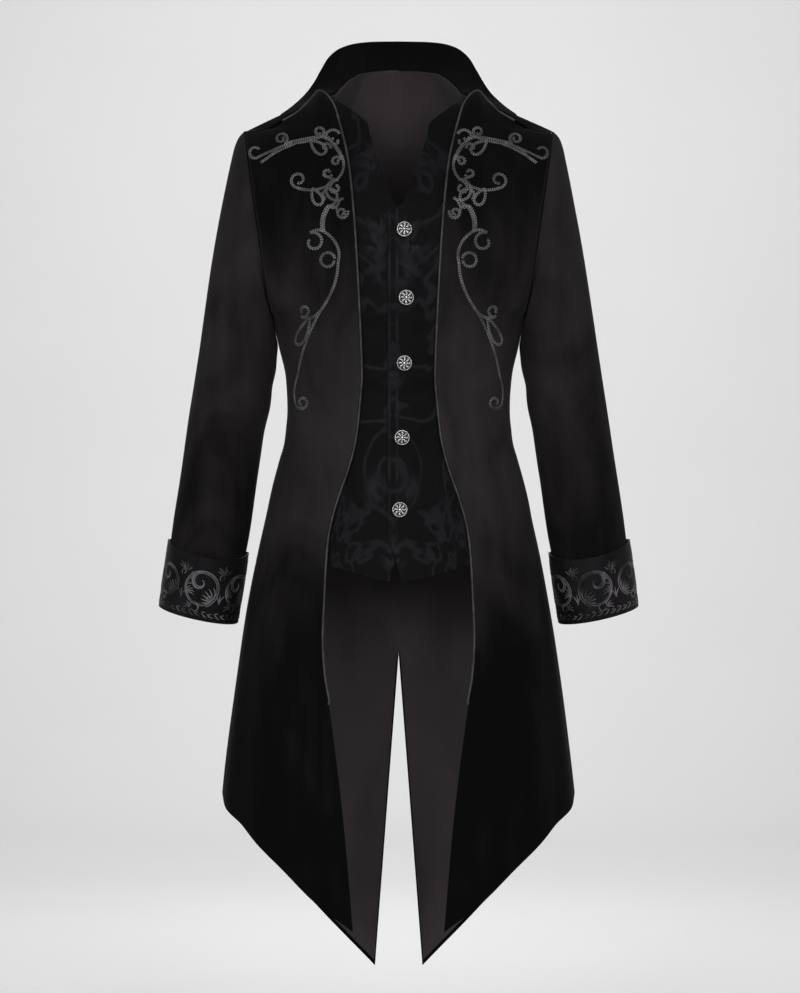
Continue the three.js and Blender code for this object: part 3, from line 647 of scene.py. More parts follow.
SLEEVE_FOLDS = (
    SleeveFold(3.2, 150, 0.8, 0.9, 0.9, 1.6),
    SleeveFold(5.6, 165, 0.9, 0.7, 0.8, -1.8),
    SleeveFold(7.4, 170, 0.7, 0.6, 0.9, 1.8),
    SleeveFold(8.6, 172, 0.5, 0.45, 1.0, -2.2),
    SleeveFold(9.4, 176, 0.2, 0.4, 1.1, 2.0),
    SleeveFold(10.2, 176, -0.3, 0.4, 1.0, -2.0),
    SleeveFold(11.2, 170, -0.6, 0.5, 0.9, 1.6),
    SleeveFold(12.4, 120, -0.7, 0.6, 0.9, -1.2),
    SleeveFold(9.6, 60, -0.5, 0.8, 0.9, 1.2),
    SleeveFold(6.0, 70, 0.6, 1.1, 0.8, -1.1),
    SleeveFold(13.6, 60, 0.5, 0.5, 0.9, 1.0),
    SleeveFold(4.4, 255, 0.5, 0.9, 0.8, 1.4),
    SleeveFold(9.0, 260, 0.4, 0.6, 0.9, -1.6),
    SleeveFold(10.6, 262, 0.3, 0.6, 0.9, 1.4),
)


class Board:
    """A material and short calls for adding and joining its nodes."""

    def __init__(self, name: str) -> None:
        """Starts a material with a Principled shader.

        Args:
            name: The material's name.
        """
        self.material = bpy.data.materials.new(name)
        self.material.use_nodes = True
        self.tree = self.material.node_tree
        self.shader = self.tree.nodes["Principled BSDF"]

    def add(self, kind: str, settings: dict | None = None, **sockets: object) -> bpy.types.Node:
        """Adds a node.

        Args:
            kind: Its type, without the ShaderNode prefix.
            settings: Its own properties.
            sockets: Values or outputs for its inputs, with _ for a space.

        Returns:
            The node.
        """
        node = self.tree.nodes.new("ShaderNode" + kind)
        for key, value in (settings or {}).items():
            setattr(node, key, value)
        for key, value in sockets.items():
            self.feed(node, key.replace("_", " "), value)
        return node

    def feed(self, node: bpy.types.Node, name: str | int, value: object) -> None:
        """Gives an input a value or joins it to an output."""
        socket = node.inputs[name]
        if isinstance(value, bpy.types.NodeSocket):
            self.tree.links.new(value, socket)
        else:
            socket.default_value = value

    def math(self, operation: str, *values: object) -> bpy.types.NodeSocket:
        """The output of a Math node."""
        node = self.add("Math", {"operation": operation})
        for i, value in enumerate(values):
            self.feed(node, i, value)
        return node.outputs[0]

    def ramp(self, value: bpy.types.NodeSocket, low: float, high: float) -> bpy.types.NodeSocket:
        """A smooth step of a value, 0 below low and 1 above high."""
        node = self.add("MapRange", {"interpolation_type": "SMOOTHSTEP"}, Value=value)
        node.inputs["From Min"].default_value = low
        node.inputs["From Max"].default_value = high
        return node.outputs["Result"]

    def blend(self, share: object, a: object, b: object) -> bpy.types.NodeSocket:
        """A mix of two colours."""
        node = self.add("Mix", {"data_type": "RGBA"})
        for name, value in (("Factor", share), ("A", a), ("B", b)):
            sockets = [s for s in node.inputs if s.name == name and s.enabled]
            self.feed_socket(sockets[0], value)
        return next(s for s in node.outputs if s.enabled)

    def feed_socket(self, socket: bpy.types.NodeSocket, value: object) -> None:
        """Gives a socket a value, a colour or an output."""
        if isinstance(value, bpy.types.NodeSocket):
            self.tree.links.new(value, socket)
        elif isinstance(value, tuple) and len(value) == 3:
            socket.default_value = (*value, 1.0)
        else:
            socket.default_value = value

    def place(self, scale: tuple[float, float, float], uv: bool = False) -> bpy.types.NodeSocket:
        """The place on the piece, stretched by a scale."""
        coordinates = self.add("TexCoord").outputs["UV" if uv else "Object"]
        mapping = self.add("Mapping", None, Vector=coordinates)
        mapping.inputs["Scale"].default_value = scale
        return mapping.outputs[0]

    def noise(self, place: object, scale: float, detail: float = 2, distortion: float = 0) -> object:
        """The height of a noise pattern."""
        node = self.add("TexNoise", None, Vector=place, Scale=scale, Detail=detail, Distortion=distortion)
        return node.outputs[0]

    def bump(self, height: object, distance: float, strength: float, under: object = None) -> object:
        """A bump of a height in metres, over another if one is given."""
        node = self.add("Bump", None, Height=height, Distance=distance, Strength=strength)
        if under is not None:
            self.feed(node, "Normal", under)
        return node.outputs[0]

    def finish(self, **sockets: object) -> bpy.types.Material:
        """Sets the shader's inputs, with _ for a space, and returns the material."""
        for key, value in sockets.items():
            self.feed_socket(self.shader.inputs[key.replace("_", " ")], value)
        return self.material


@dataclass(frozen=True)
class Velvet:
    """Short dense black pile that lightens where it turns away, with random patches of paler pile and a painted
    band of light round one height.
    """

    name: str
    # The next three fields place a band of painted light: the velvet lightens near a height, within a reach, by a
    # share; a share below 0 paints shade instead.
    lit_band_height: float
    lit_band_reach: float
    lit_band_share: float
    shade: tuple[float, float, float] = (0.0017, 0.0016, 0.0017)
    light: tuple[float, float, float] = (0.0225, 0.0192, 0.0208)
    sheen: float = 0.035
    sheen_roughness: float = 0.5
    sheen_tint: tuple[float, float, float] = (0.50, 0.47, 0.48)

    def build(self) -> bpy.types.Material:
        """The material: random patches of paler pile, a painted band of light round one height, fine pile and a
        soft sheen.
        """
        board = Board(self.name)
        patches = board.noise(board.place((1.0, 1.0, 0.6)), 13.0, 4, 0.8)
        streaks = board.noise(board.place((1.0, 1.0, 0.12)), 46.0, 2)
        pile = board.noise(board.place((1.0, 1.0, 1.0)), 1500.0, 1)
        height = board.add("SeparateXYZ", None, Vector=board.place((1.0, 1.0, 1.0))).outputs[2]
        # Painted light: the velvet lightens in a band round one height, standing in for light falling on the
        # waist and mid-sleeve, and its random patches grow stronger there.
        from_lit_band = board.math("ABSOLUTE", board.math("SUBTRACT", height, self.lit_band_height))
        fade = board.math("SUBTRACT", 1.0, board.ramp(from_lit_band, 0.0, self.lit_band_reach))
        weight = board.math("MULTIPLY_ADD", fade, 0.32, 0.46)
        pile_tone_and_painted_light = board.math("MULTIPLY_ADD", streaks, 0.25, board.math("MULTIPLY", patches, weight))
        pile_tone_and_painted_light = board.math("MULTIPLY_ADD", fade, self.lit_band_share, pile_tone_and_painted_light)
        share = board.ramp(pile_tone_and_painted_light, 0.33, 1.14)
        colour = board.blend(share, self.shade, self.light)
        colour = board.blend(board.math("MULTIPLY", pile, 0.35), colour, self.shade)
        rough = board.math("MULTIPLY_ADD", patches, 0.14, 0.74)
        relief = board.bump(patches, 0.004, 0.10)
        relief = board.bump(pile, 0.0004, 0.35, relief)
        return board.finish(
            Base_Color=colour,
            Roughness=rough,
            Normal=relief,
            IOR=1.38,
            Specular_IOR_Level=0.03,
            Sheen_Weight=self.sheen,
            Sheen_Roughness=self.sheen_roughness,
            Sheen_Tint=self.sheen_tint,
        )


@dataclass(frozen=True)
class Satin:
    """A smooth satin with a fine diagonal twill."""

    name: str
    colour: tuple[float, float, float]
    painted_sheen_colour: tuple[float, float, float]
    roughness: float = 0.5
    sheen: float = 0.05
    threads: float = 9000.0
    specular: float = 0.1
    patch: float = 14.0
    even: float = 0.2

    def build(self) -> bpy.types.Material:
        """The material: slow painted sheen in soft random patches of a paler colour, slubs and the twill's ribs.
        """
        board = Board(self.name)
        cloud = board.noise(board.place((1.0, 1.0, 0.5)), self.patch, 3, 0.4)
        slubs = board.noise(board.place((60.0, 900.0, 1.0), uv=True), 1.0, 2)
        split = board.add("SeparateXYZ", None, Vector=board.place((1.0, 1.0, 1.0), uv=True))
        across = board.math("MULTIPLY", split.outputs[0], self.threads)
        diagonal = board.math("MULTIPLY_ADD", split.outputs[1], self.threads, across)
        ribs = board.math("SINE", diagonal)
        # Painted sheen: soft random patches turn the colour paler as if the satin caught the light there; on the
        # cuffs and their ribbons they are painted highlights.
        colour = board.blend(board.ramp(cloud, 0.5 - self.even, 0.5 + self.even), self.colour, self.painted_sheen_colour)
        colour = board.blend(board.math("MULTIPLY", slubs, 0.3), colour, self.colour)
        rough = board.math("MULTIPLY_ADD", slubs, 0.12, self.roughness - 0.06)
        relief = board.bump(ribs, 0.00012, 0.5)
        relief = board.bump(cloud, 0.003, 0.12, relief)
        return board.finish(
            Base_Color=colour,
            Roughness=rough,
            Normal=relief,
            IOR=1.45,
            Specular_IOR_Level=self.specular,
            Sheen_Weight=self.sheen,
            Sheen_Roughness=0.5,
        )


@dataclass(frozen=True)
class Jacquard:
    """Black figured satin: glossy leaves and blossoms on a dull, slightly bluer ground, with a painted highlight
    beside the lapped edge.
    """

    name: str = "jacquard"
    ground: tuple[float, float, float] = (0.0014, 0.0013, 0.0017)
    figure: tuple[float, float, float] = (0.0080, 0.0078, 0.0102)
    figure_size: float = 17.0
    lap: float = -0.007
    # How far beside the lapped edge its painted highlight runs.
    lap_highlight: float = 0.005

    def build(self) -> bpy.types.Material:
        """The material: the figure and the painted highlight beside the lapped edge show in colour, gloss and a
        slight relief.
        """
        board = Board(self.name)
        split = board.add("SeparateXYZ", None, Vector=board.place((1.0, 1.0, 0.7)))
        from_lap = board.math("ABSOLUTE", board.math("SUBTRACT", split.outputs[0], self.lap))
        joined = board.add("CombineXYZ", None, X=from_lap, Y=split.outputs[1], Z=split.outputs[2])
        place = joined.outputs[0]
        stems = board.noise(place, self.figure_size * 0.6, 2, 2.2)
        band = board.math("ABSOLUTE", board.math("SUBTRACT", stems, 0.5))
        stem = board.math("MULTIPLY", board.math("SUBTRACT", 1.0, board.ramp(band, 0.015, 0.05)), 0.6)
        bent = board.add("MixRGB", {"blend_type": "ADD"}, Fac=0.03, Color1=place)
        board.feed(bent, "Color2", board.add("TexNoise", None, Vector=place, Scale=20.0).outputs[1])
        petal = board.add(
            "TexVoronoi", {"feature": "SMOOTH_F1"}, Vector=bent.outputs[0], Scale=self.figure_size
        )
        petal.inputs["Smoothness"].default_value = 0.3
        leaf = board.math("SUBTRACT", 1.0, board.ramp(petal.outputs["Distance"], 0.20, 0.42))
        veins = board.ramp(board.noise(place, self.figure_size * 3.2, 3, 1.5), 0.36, 0.6)
        leaf = board.math("MULTIPLY", leaf, veins)
        # Painted highlight: a narrow band just beside the lapped edge, where its fold catches the light, broken
        # up by noise and given the figure's colour.
        off_lap_highlight = board.math("ABSOLUTE", board.math("SUBTRACT", from_lap, self.lap_highlight))
        lap_highlight = board.math("SUBTRACT", 1.0, board.ramp(off_lap_highlight, 0.0008, 0.0026))
        lap_highlight = board.math("MULTIPLY", lap_highlight, board.ramp(board.noise(place, 22.0, 2), 0.42, 0.66))
        figure = board.math("MAXIMUM", board.math("MAXIMUM", stem, leaf), lap_highlight)
        threads = board.add("SeparateXYZ", None, Vector=board.place((1.0, 1.0, 1.0), uv=True))
        weave = board.math("SINE", board.math("MULTIPLY", threads.outputs[1], 5200.0))
        # Painted sheen: a slow random noise darkens the colour towards the ground, as uneven light on satin
        # would.
        painted_sheen_mottle = board.noise(place, 34.0, 3)
        colour = board.blend(figure, self.ground, self.figure)
        colour = board.blend(board.math("MULTIPLY", painted_sheen_mottle, 0.5), colour, self.ground)
        rough = board.math("MULTIPLY_ADD", figure, -0.2, 0.6)
        relief = board.bump(weave, 0.00008, 0.4)
        relief = board.bump(figure, 0.0005, 0.45, relief)
        return board.finish(
            Base_Color=colour,
            Roughness=rough,
            Normal=relief,
            IOR=1.5,
            Specular_IOR_Level=0.04,
            Sheen_Weight=0.01,
            Sheen_Roughness=0.4,
        )


@dataclass(frozen=True)
class Cord:
    """Satin or twisted cord: bias threads, fibres and a low sheen."""

    name: str
    dark: tuple[float, float, float]
    light: tuple[float, float, float]

    def build(self) -> bpy.types.Material:
        """The material: a slow random cloud of darker and paler tone, with fine fibres."""
        board = Board(self.name)
        fibres = board.noise(board.place((1.0, 1.0, 1.0)), 2200.0, 2)
        cloud = board.noise(board.place((1.0, 1.0, 1.0)), 60.0, 2)
        colour = board.blend(board.ramp(cloud, 0.35, 0.65), self.dark, self.light)
        return board.finish(
            Base_Color=colour,
            Roughness=0.5,
            Normal=board.bump(fibres, 0.00015, 0.5),
            Specular_IOR_Level=0.25,
            Sheen_Weight=0.05,
            Sheen_Roughness=0.4,
        )


@dataclass(frozen=True)
class ChainStitch:
    """Grey thread in two rows of slanting stitches, with painted shade between them."""

    name: str = "braid"
    # The gap colour is painted shade for the grooves between and along the stitches.
    gap: tuple[float, float, float] = (0.004, 0.0038, 0.0041)
    dark: tuple[float, float, float] = (0.040, 0.039, 0.041)
    light: tuple[float, float, float] = (0.150, 0.147, 0.153)

    def build(self) -> bpy.types.Material:
        """The material: painted shade in the gap colour fills the grooves between the stitches, down the middle
        and at the edges, leaving each crown in the thread's colour; single threads vary.
        """
        board = Board(self.name)
        split = board.add("SeparateXYZ", None, Vector=board.place((1.0, 1.0, 1.0), uv=True))
        aside = board.math("ABSOLUTE", split.outputs[0])
        run = board.math("MULTIPLY_ADD", aside, 0.55, split.outputs[1])
        # Painted shade: the gap colour darkens between stitches, down the middle groove and at the cord's edges,
        # where the thread would be in shade.
        crown = board.math("ABSOLUTE", board.math("SINE", board.math("MULTIPLY", run, math.pi)))
        crown = board.math("MULTIPLY", board.ramp(crown, 0.45, 0.92), board.ramp(aside, 0.06, 0.32))
        crown = board.math("MULTIPLY", crown, board.math("SUBTRACT", 1.0, board.ramp(aside, 0.72, 1.0)))
        fibres = board.noise(board.place((1.0, 1.0, 1.0)), 2600.0, 2)
        cloud = board.noise(board.place((1.0, 1.0, 1.0)), 45.0, 2)
        thread = board.blend(board.ramp(cloud, 0.35, 0.65), self.dark, self.light)
        thread = board.blend(board.math("MULTIPLY", fibres, 0.3), thread, self.dark)
        return board.finish(
            Base_Color=board.blend(crown, self.gap, thread),
            Roughness=0.48,
            Normal=board.bump(fibres, 0.00015, 0.5),
            Specular_IOR_Level=0.3,
            Sheen_Weight=0.08,
            Sheen_Roughness=0.4,
        )


@dataclass(frozen=True)
class AntiqueSilver:
    """Cast silver-coloured metal, dark in its hollows and worn bright on its relief."""

    name: str = "antique_silver"
    bright: tuple[float, float, float] = (0.62, 0.61, 0.60)
    dark: tuple[float, float, float] = (0.014, 0.0135, 0.013)

    def build(self) -> bpy.types.Material:
        """The material: bright where the chart says that the relief is high."""
        board = Board(self.name)
        chart = board.add("SeparateXYZ", None, Vector=board.place((1.0, 1.0, 1.0), uv=True))
        raised = board.ramp(chart.outputs[0], -0.12, 0.42)
        tarnish = board.noise(board.place((1.0, 1.0, 1.0)), 420.0, 3)
        colour = board.blend(raised, self.dark, self.bright)
        colour = board.blend(board.math("MULTIPLY", board.ramp(tarnish, 0.5, 0.75), 0.5), colour, self.dark)
        rough = board.math("MULTIPLY_ADD", tarnish, 0.22, 0.24)
        return board.finish(
            Base_Color=colour, Roughness=rough, Metallic=0.9, Normal=board.bump(tarnish, 0.0001, 0.3)
        )


class Side(Enum):
    """The wearer's left, where X is positive, or right."""

    LEFT = 1
    RIGHT = -1

    @property
    def word(self) -> str:
        """The side's name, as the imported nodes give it."""
        return self.name.lower()


@dataclass
class Dresser:
    """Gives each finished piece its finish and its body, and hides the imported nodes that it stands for."""

    finishes: dict[str, bpy.types.Material] = field(default_factory=dict)

    def dress(self, piece: bpy.types.Object, finish: str, slot: str, nodes: Sequence[str]) -> None:
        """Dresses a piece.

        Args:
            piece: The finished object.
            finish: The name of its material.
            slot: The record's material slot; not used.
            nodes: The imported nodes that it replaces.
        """
        piece.data.materials.append(self.finishes[finish])
        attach(piece, "root")
        if nodes:
            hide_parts(*nodes)
        LOG.info("%s: %d vertices", piece.name, len(piece.data.vertices))

    def cloth(
        self,
        piece: bpy.types.Object,
        grid: Array,
        finish: str,
        slot: str,
        node: str,
        rests_on: Sequence[str] = (),
    ) -> None:
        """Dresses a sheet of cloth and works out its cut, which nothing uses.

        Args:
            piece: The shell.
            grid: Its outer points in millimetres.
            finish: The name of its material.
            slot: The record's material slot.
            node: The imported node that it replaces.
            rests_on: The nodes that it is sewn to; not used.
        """
        self.dress(piece, finish, slot, [node])
        flat, area = Cloth.cut(grid)
        list(rests_on)


@dataclass
class CoatBody:
    """The velvet fronts and backs and the satin lining of the back."""

    dresser: Dresser
    velvet: float = 2.2
    lining: float = 1.0
    columns: int = 60
    low_rows: int = 110
    high_rows: int = 84
    lining_short: tuple[float, float, float] = (7.0, 2.4, 3.0)
    neck_turn: float = 2.0
    blade_rows: int = 33

    def shares(self) -> Array:
        """Columns, a little closer together at both edges."""
        t = np.linspace(0, 1, self.columns)
        return t - 0.06 * np.sin(2 * math.pi * t)

    def drape(self, grid: Array, table: Sequence[Crease], side: Side) -> Array:
        """A panel's grid with its creases and slow unevenness, which die out at its edges."""
        x, z = grid[..., 0], grid[..., 2]
        t = np.linspace(0, 1, grid.shape[1])
        hold = np.clip(np.minimum(t, 1 - t) / 0.07, 0, 1)[None, :]
        rows = np.arange(grid.shape[0])
        hold = hold * np.clip((grid.shape[0] - 1 - rows) / 6, 0, 1)[:, None]
        amount = Drape.creases(x, z, table, side.value) + Drape.swell(x, z, side.value * 1.3, 0.45)
        return Cloth.moved(grid, amount * (0.25 + 0.75 * hold) * np.clip(hold + 0.3, 0, 1))

    def front_grid(self, side: Side) -> Array:
        """One front's outer points, on the side where X is positive."""
        rises = np.linspace(0, 1, self.low_rows)
        lifts = 1 - (1 - np.linspace(0, 1, self.high_rows + 1)[1:]) ** 1.25
        return self.drape(Shell.front(self.shares(), rises, lifts), FRONT_CREASES, side)

    def back_grid(self, side: Side) -> Array:
        """One back's outer points, on the side where X is positive."""
        rises = np.linspace(0, 1, self.low_rows)
        blades = np.linspace(0, 0.6, self.blade_rows + 1)[1:]
        neck = np.array([0.62, 0.638, 0.64, 0.643, 0.647, 0.652, 0.66, 0.67, 0.682, 0.695, 0.712, 0.735])
        top = np.linspace(0.76, 1, 12)
        over = np.linspace(1, 2, 7)[1:]
        sweeps = np.concatenate([blades, neck, top, over])
        grid = Shell.back(self.shares(), rises, sweeps, self.velvet + 2.6)
        return self.drape(grid, BACK_CREASES, side)

    def trim_front(self, points: Array) -> Array:
        """Keeps a front's inner points ahead of the side seam."""
        low = points[..., 2] <= UNDERARM + 10
        points[..., 1] = np.where(low, np.minimum(points[..., 1], -SEAM_GAP / 2), points[..., 1])
        return points

    def trim_back(self, points: Array) -> Array:
        """Keeps a back's inner points behind the side seam and clear of the centre seam."""
        low = points[..., 2] <= UNDERARM + 10
        points[..., 1] = np.where(low, np.maximum(points[..., 1], SEAM_GAP / 2), points[..., 1])
        return self.met(points)

    def met(self, points: Array) -> Array:
        """Brings a back's inner edge to the centre from the top of the vent to the neck."""
        points[..., 0] = np.maximum(points[..., 0], -MEETING)
        joined = (points[:, 0, 2] > VENT_TOP) & (np.arange(len(points)) < self.low_rows + self.blade_rows)
        points[joined, 0, 0] = -MEETING
        return points

    def shortened(self, grid: Array) -> Array:
        """The lining's grid: the back's, stopping short of the hem, the vent, the side and the shoulder."""
        hem, inner, end = self.lining_short
        made = grid.copy()
        open_vent = made[:, 0, 2] < VENT_TOP
        at_neck = np.arange(len(made)) >= self.low_rows + self.blade_rows
        inner_edge = np.where(open_vent, inner, 0.0)[:, None]
        for edge, next_to, by in ((0, 1, inner_edge), (-1, -2, end)):
            step = made[:, next_to] - made[:, edge]
            length = np.linalg.norm(step, axis=-1, keepdims=True)
            made[:, edge] += step * np.minimum(0.8, by / length)
        made[~open_vent & ~at_neck, 0, 0] = -MEETING
        run = np.gradient(grid[at_neck, 0], axis=0)
        up = np.cross(run, Cloth.normals(grid, False, Cloth.away(grid, False))[at_neck, 0])
        up /= np.linalg.norm(up, axis=-1, keepdims=True)
        made[at_neck, 0] += up * np.sign(up[:, 2:]) * self.neck_turn
        for edge, next_to, by in ((0, 1, hem), (-1, -2, end)):
            step = made[next_to] - made[edge]
            length = np.linalg.norm(step, axis=-1, keepdims=True)
            made[edge] += step * np.minimum(0.8, by / length)
        return made

    def build(self) -> dict[Side, Array]:
        """Builds both sides.

        Returns:
            Each front's outer points, for the piping.
        """
        fronts = {}
        for side in Side:
            flip = np.array([side.value, 1, 1])
            front = self.front_grid(side)
            back = self.back_grid(side)
            trim = self.flipped(self.trim_front, flip)
            piece = Cloth.shell(f"front_panel_{side.word}", front * flip, self.velvet, trim=trim)
            Cloth.soften(piece, 0.5)
            self.dresser.cloth(piece, front, "velvet", "velvet", f"front_{side.word}", [f"back_{side.word}"])
            trim = self.flipped(self.trim_back, flip)
            piece = Cloth.shell(f"back_panel_{side.word}", back * flip, self.velvet, trim=trim)
            Cloth.soften(piece, 0.5)
            self.dresser.cloth(piece, back, "velvet", "velvet", f"back_{side.word}", ["collar"])
            lining = self.shortened(Cloth.moved(back, -(self.velvet + SEAM_GAP)))
            meet = self.flipped(self.met, flip)
            piece = Cloth.shell(f"satin_lining_{side.word}", lining * flip, self.lining, trim=meet)
            node = f"back_lining_{side.word}"
            self.dresser.cloth(piece, lining, "lining", "lining", node, [f"back_{side.word}"])
            fronts[side] = front
        return fronts

    @staticmethod
    def flipped(trim: Callable, flip: Array) -> Callable:
        """A trim that works on the side where X is positive, made to work on either side."""
        return lambda points: trim(points * flip) * flip


@dataclass
class Waistcoat:
    """The false waistcoat fronts, sewn in at the coat's side seams and lapped left over right."""

    dresser: Dresser
    cloth: float = 1.6
    inside: float = 5.2
    over_step: float = 1.9
    under_step: float = -1.2
    lap_start: float = 34.0
    lap_width: float = 16.0
    columns: int = 56

    neck: Curve = Curve(
        (
            *((-206, 2), (-186, 10), (-165, 19), (-132, 30), (-101, 39)),
            *((-88, 42), (-84, 46), (-66, 66), (-47, 88)),
        )
    )
    lapped_edge: Curve = Curve(
        ((-700, 7), (-682, 2), (-660, -3.2), (-641, -10.3), (-617, -14.5), (-214, -14), (-208, -6))
    )
    under_edge: Curve = Curve(
        ((-700, 16), (-687, 12), (-664, 6), (-640, -6), (-610, -14), (-232, -14), (-214, -8), (-208, -3))
    )
    hem: Curve = Curve(WAISTCOAT_HEM)

    def across(self, edge: Curve, z: Array, share: Array) -> Array:
        """Distances from the centre at a share of the way from the closing edge to the side seam."""
        inner = np.where(z > -206, self.neck(z), edge(z))
        wide = Shell.across(INNER_FRONT, inner, z, share)
        rise = np.sin(np.clip((z - UNDERARM) / 90, 0, 1) * math.pi / 2)
        outer = HALF_WIDTH(z) - 26 * rise
        above = mix(inner, outer, share) * 0.4 + np.minimum(wide, outer) * 0.6
        return np.where(z > UNDERARM, above, wide)

    def step(self, side: Side) -> float:
        """How far a side's closing edge stands forward."""
        return self.over_step if side is Side.LEFT else self.under_step

    def grid(self, side: Side) -> Array:
        """One front's outer points, on the side where X is positive."""
        edge = self.lapped_edge if side is Side.LEFT else self.under_edge
        share = np.linspace(0, 1, self.columns)
        bottom = self.hem(np.full(self.columns, 60.0))
        for _ in range(Shell.PASSES):
            bottom = mix(bottom, self.hem(self.across(edge, bottom, share)), 0.6)
        rises = np.linspace(0, 1, 76)
        z = mix(bottom[None, :], UNDERARM, rises[:, None])
        low = Shell.point(INNER_FRONT, self.across(edge, z, np.broadcast_to(share, z.shape)), z)
        stretches = (0, 0.36, 22), (0.36, 0.44, 16), (0.44, 0.91, 26)
        sweeps = np.concatenate([np.linspace(*stretch)[1:] for stretch in stretches])
        shares = np.broadcast_to(share, (len(sweeps), self.columns))
        z = np.full(shares.shape, UNDERARM)
        for _ in range(Shell.PASSES):
            z = mix(z, Shell.swept(INNER_FRONT, self.across(edge, z, shares), sweeps[:, None]), 0.6)
        high = Shell.point(INNER_FRONT, self.across(edge, z, shares), z)
        return self.settled(np.concatenate([low, high]), side)

    def settled(self, grid: Array, side: Side) -> Array:
        """A grid moved inside the coat, with its lap and its creases."""
        lap = np.clip((self.lap_start - grid[..., 0]) / self.lap_width, 0, 1)
        amount = -self.inside + self.step(side) * lap
        above_hem = np.clip((grid[..., 2] + 690) / 30, 0, 1)
        amount = amount + self.relief(grid[..., 0], grid[..., 2], side) * above_hem
        return Cloth.moved(grid, amount)

    def relief(self, x: Array, z: Array, side: Side) -> Array:
        """The creases' height, which fades towards the hidden sides."""
        made = Drape.creases(x, z, WAISTCOAT_CREASES, side.value) + Drape.swell(x, z, 2 + side.value, 0.5)
        return np.clip(made, -1.6, 1.3) * np.clip((110 - x) / 50, 0.15, 1)

    def face(self, x: float, z: float) -> tuple[Array, Array]:
        """A point of the lapped front's outer surface and the direction that it faces."""
        spots = Shell.point(INNER_FRONT, np.array([x, x + 4, x - 4, x, x]), np.array([z, z, z, z + 4, z - 4]))
        out = np.cross(spots[1] - spots[2], spots[3] - spots[4])
        out /= np.linalg.norm(out) * np.sign(-out[1])
        lift = self.over_step - self.inside + float(self.relief(np.array(x), np.array(z), Side.LEFT))
        return spots[0] + out * lift, out

    def build(self) -> None:
        """Builds both fronts."""
        for side in Side:
            grid = self.grid(side)
            flip = np.array([side.value, 1, 1])
            piece = Cloth.shell(f"waistcoat_front_{side.word}", grid * flip, self.cloth)
            Cloth.soften(piece, 0.4)
            node, rests_on = f"waistcoat_{side.word}", [f"back_lining_{side.word}"]
            self.dresser.cloth(piece, grid, "jacquard", "jacquard", node, rests_on)


@dataclass
class Buttons:
    """Five domed metal buttons with a worked relief."""

    dresser: Dresser
    waistcoat: Waistcoat
    places: tuple[tuple[float, float], ...] = ((7.5, -234), (10, -322), (7.5, -406), (4.6, -502), (1.7, -595))
    radius: float = 10.3
    rim: float = 1.4
    dome: float = 4.2
    shank: float = 3.0
    shank_radius: float = 2.6
    petals: int = 8
    beads: int = 30

    def relief(self, reach: Array, turn: Array) -> Array:
        """The relief's height at a share of the radius and an angle: flower, scrolls and a beaded rim."""
        flower = np.cos(self.petals * turn) * np.exp(-(((reach - 0.34) / 0.13) ** 2))
        heart = np.exp(-((reach / 0.13) ** 2)) - 0.6 * np.exp(-(((reach - 0.19) / 0.03) ** 2))
        scroll = np.cos(self.petals * turn + 9 * reach) * np.exp(-(((reach - 0.62) / 0.12) ** 2))
        lace = np.sin(2 * self.petals * turn) * np.sin(26 * reach) * np.exp(-(((reach - 0.55) / 0.2) ** 2))
        ring = -np.exp(-(((reach - 0.8) / 0.025) ** 2))
        bead = np.abs(np.sin(self.beads * turn / 2)) * np.exp(-(((reach - 0.9) / 0.05) ** 2))
        return 0.42 * flower + 0.5 * heart + 0.42 * scroll + 0.22 * lace + 0.4 * ring + 0.5 * bead

    def button(self, name: str, place: tuple[float, float], spin: float) -> bpy.types.Object:
        """One button on its shank.

        Args:
            name: The piece's name.
            place: Its place on the waistcoat.
            spin: How far it is turned, in radians.

        Returns:
            The object.
        """
        reach = np.concatenate([np.linspace(0.02, 1, 34), [1.0, 0.93, 0.3, 0.252, 0.252]])
        height = self.rim + self.dome * (1 - reach**2) ** 0.62
        height[34:] = (0.5, 0.0, 0.0, -0.2, -self.shank)
        turn = np.linspace(0, 2 * math.pi, 97)[:-1] + spin
        lift = self.relief(reach[:, None], turn[None, :]) * (np.arange(len(reach)) < 33)[:, None]
        height = height[:, None] + np.clip(lift, -0.5, 0.6)
        out = self.waistcoat.face(*place)
        axis = out[1]
        side = np.cross(axis, [0, 0, 1.0])
        side /= np.linalg.norm(side)
        up = np.cross(side, axis)
        seat = out[0] + axis * (self.shank + SEAM_GAP)
        around = np.cos(turn)[:, None] * side + np.sin(turn)[:, None] * up
        points = seat + (reach * self.radius)[:, None, None] * around + height[..., None] * axis
        points = points.reshape(-1, 3)
        low = np.where(np.arange(len(reach)) < 34, 0.0, -1.0)[:, None]
        relief = np.append((lift + low).ravel(), [0.4, -1.0])
        rows, cols = len(reach), len(turn)
        index = np.arange(rows * cols).reshape(rows, cols)
        ahead = np.roll(index, -1, 1)
        quads = np.stack([index[:-1], ahead[:-1], ahead[1:], index[1:]], -1).reshape(-1, 4)
        crown, foot = len(points), len(points) + 1
        ends = [seat + axis * (self.rim + self.dome + 0.45), seat - axis * self.shank]
        points = np.concatenate([points, ends])
        caps = [[crown, b, a, a] for a, b in zip(index[0], ahead[0])]
        caps += [[foot, a, b, b] for a, b in zip(index[-1], ahead[-1])]
        faces = np.concatenate([quads, np.array(caps)])
        return Rope.solid(name, points, faces, np.stack([relief, np.zeros_like(relief)], -1))

    def build(self) -> None:
        """Builds and dresses the five buttons."""
        for i, place in enumerate(self.places):
            piece = self.button(f"silver_button_{i + 1}", place, 0.37 * i)
            self.dresser.dress(piece, "antique_silver", "button_metal", [f"button_{i + 1}"])


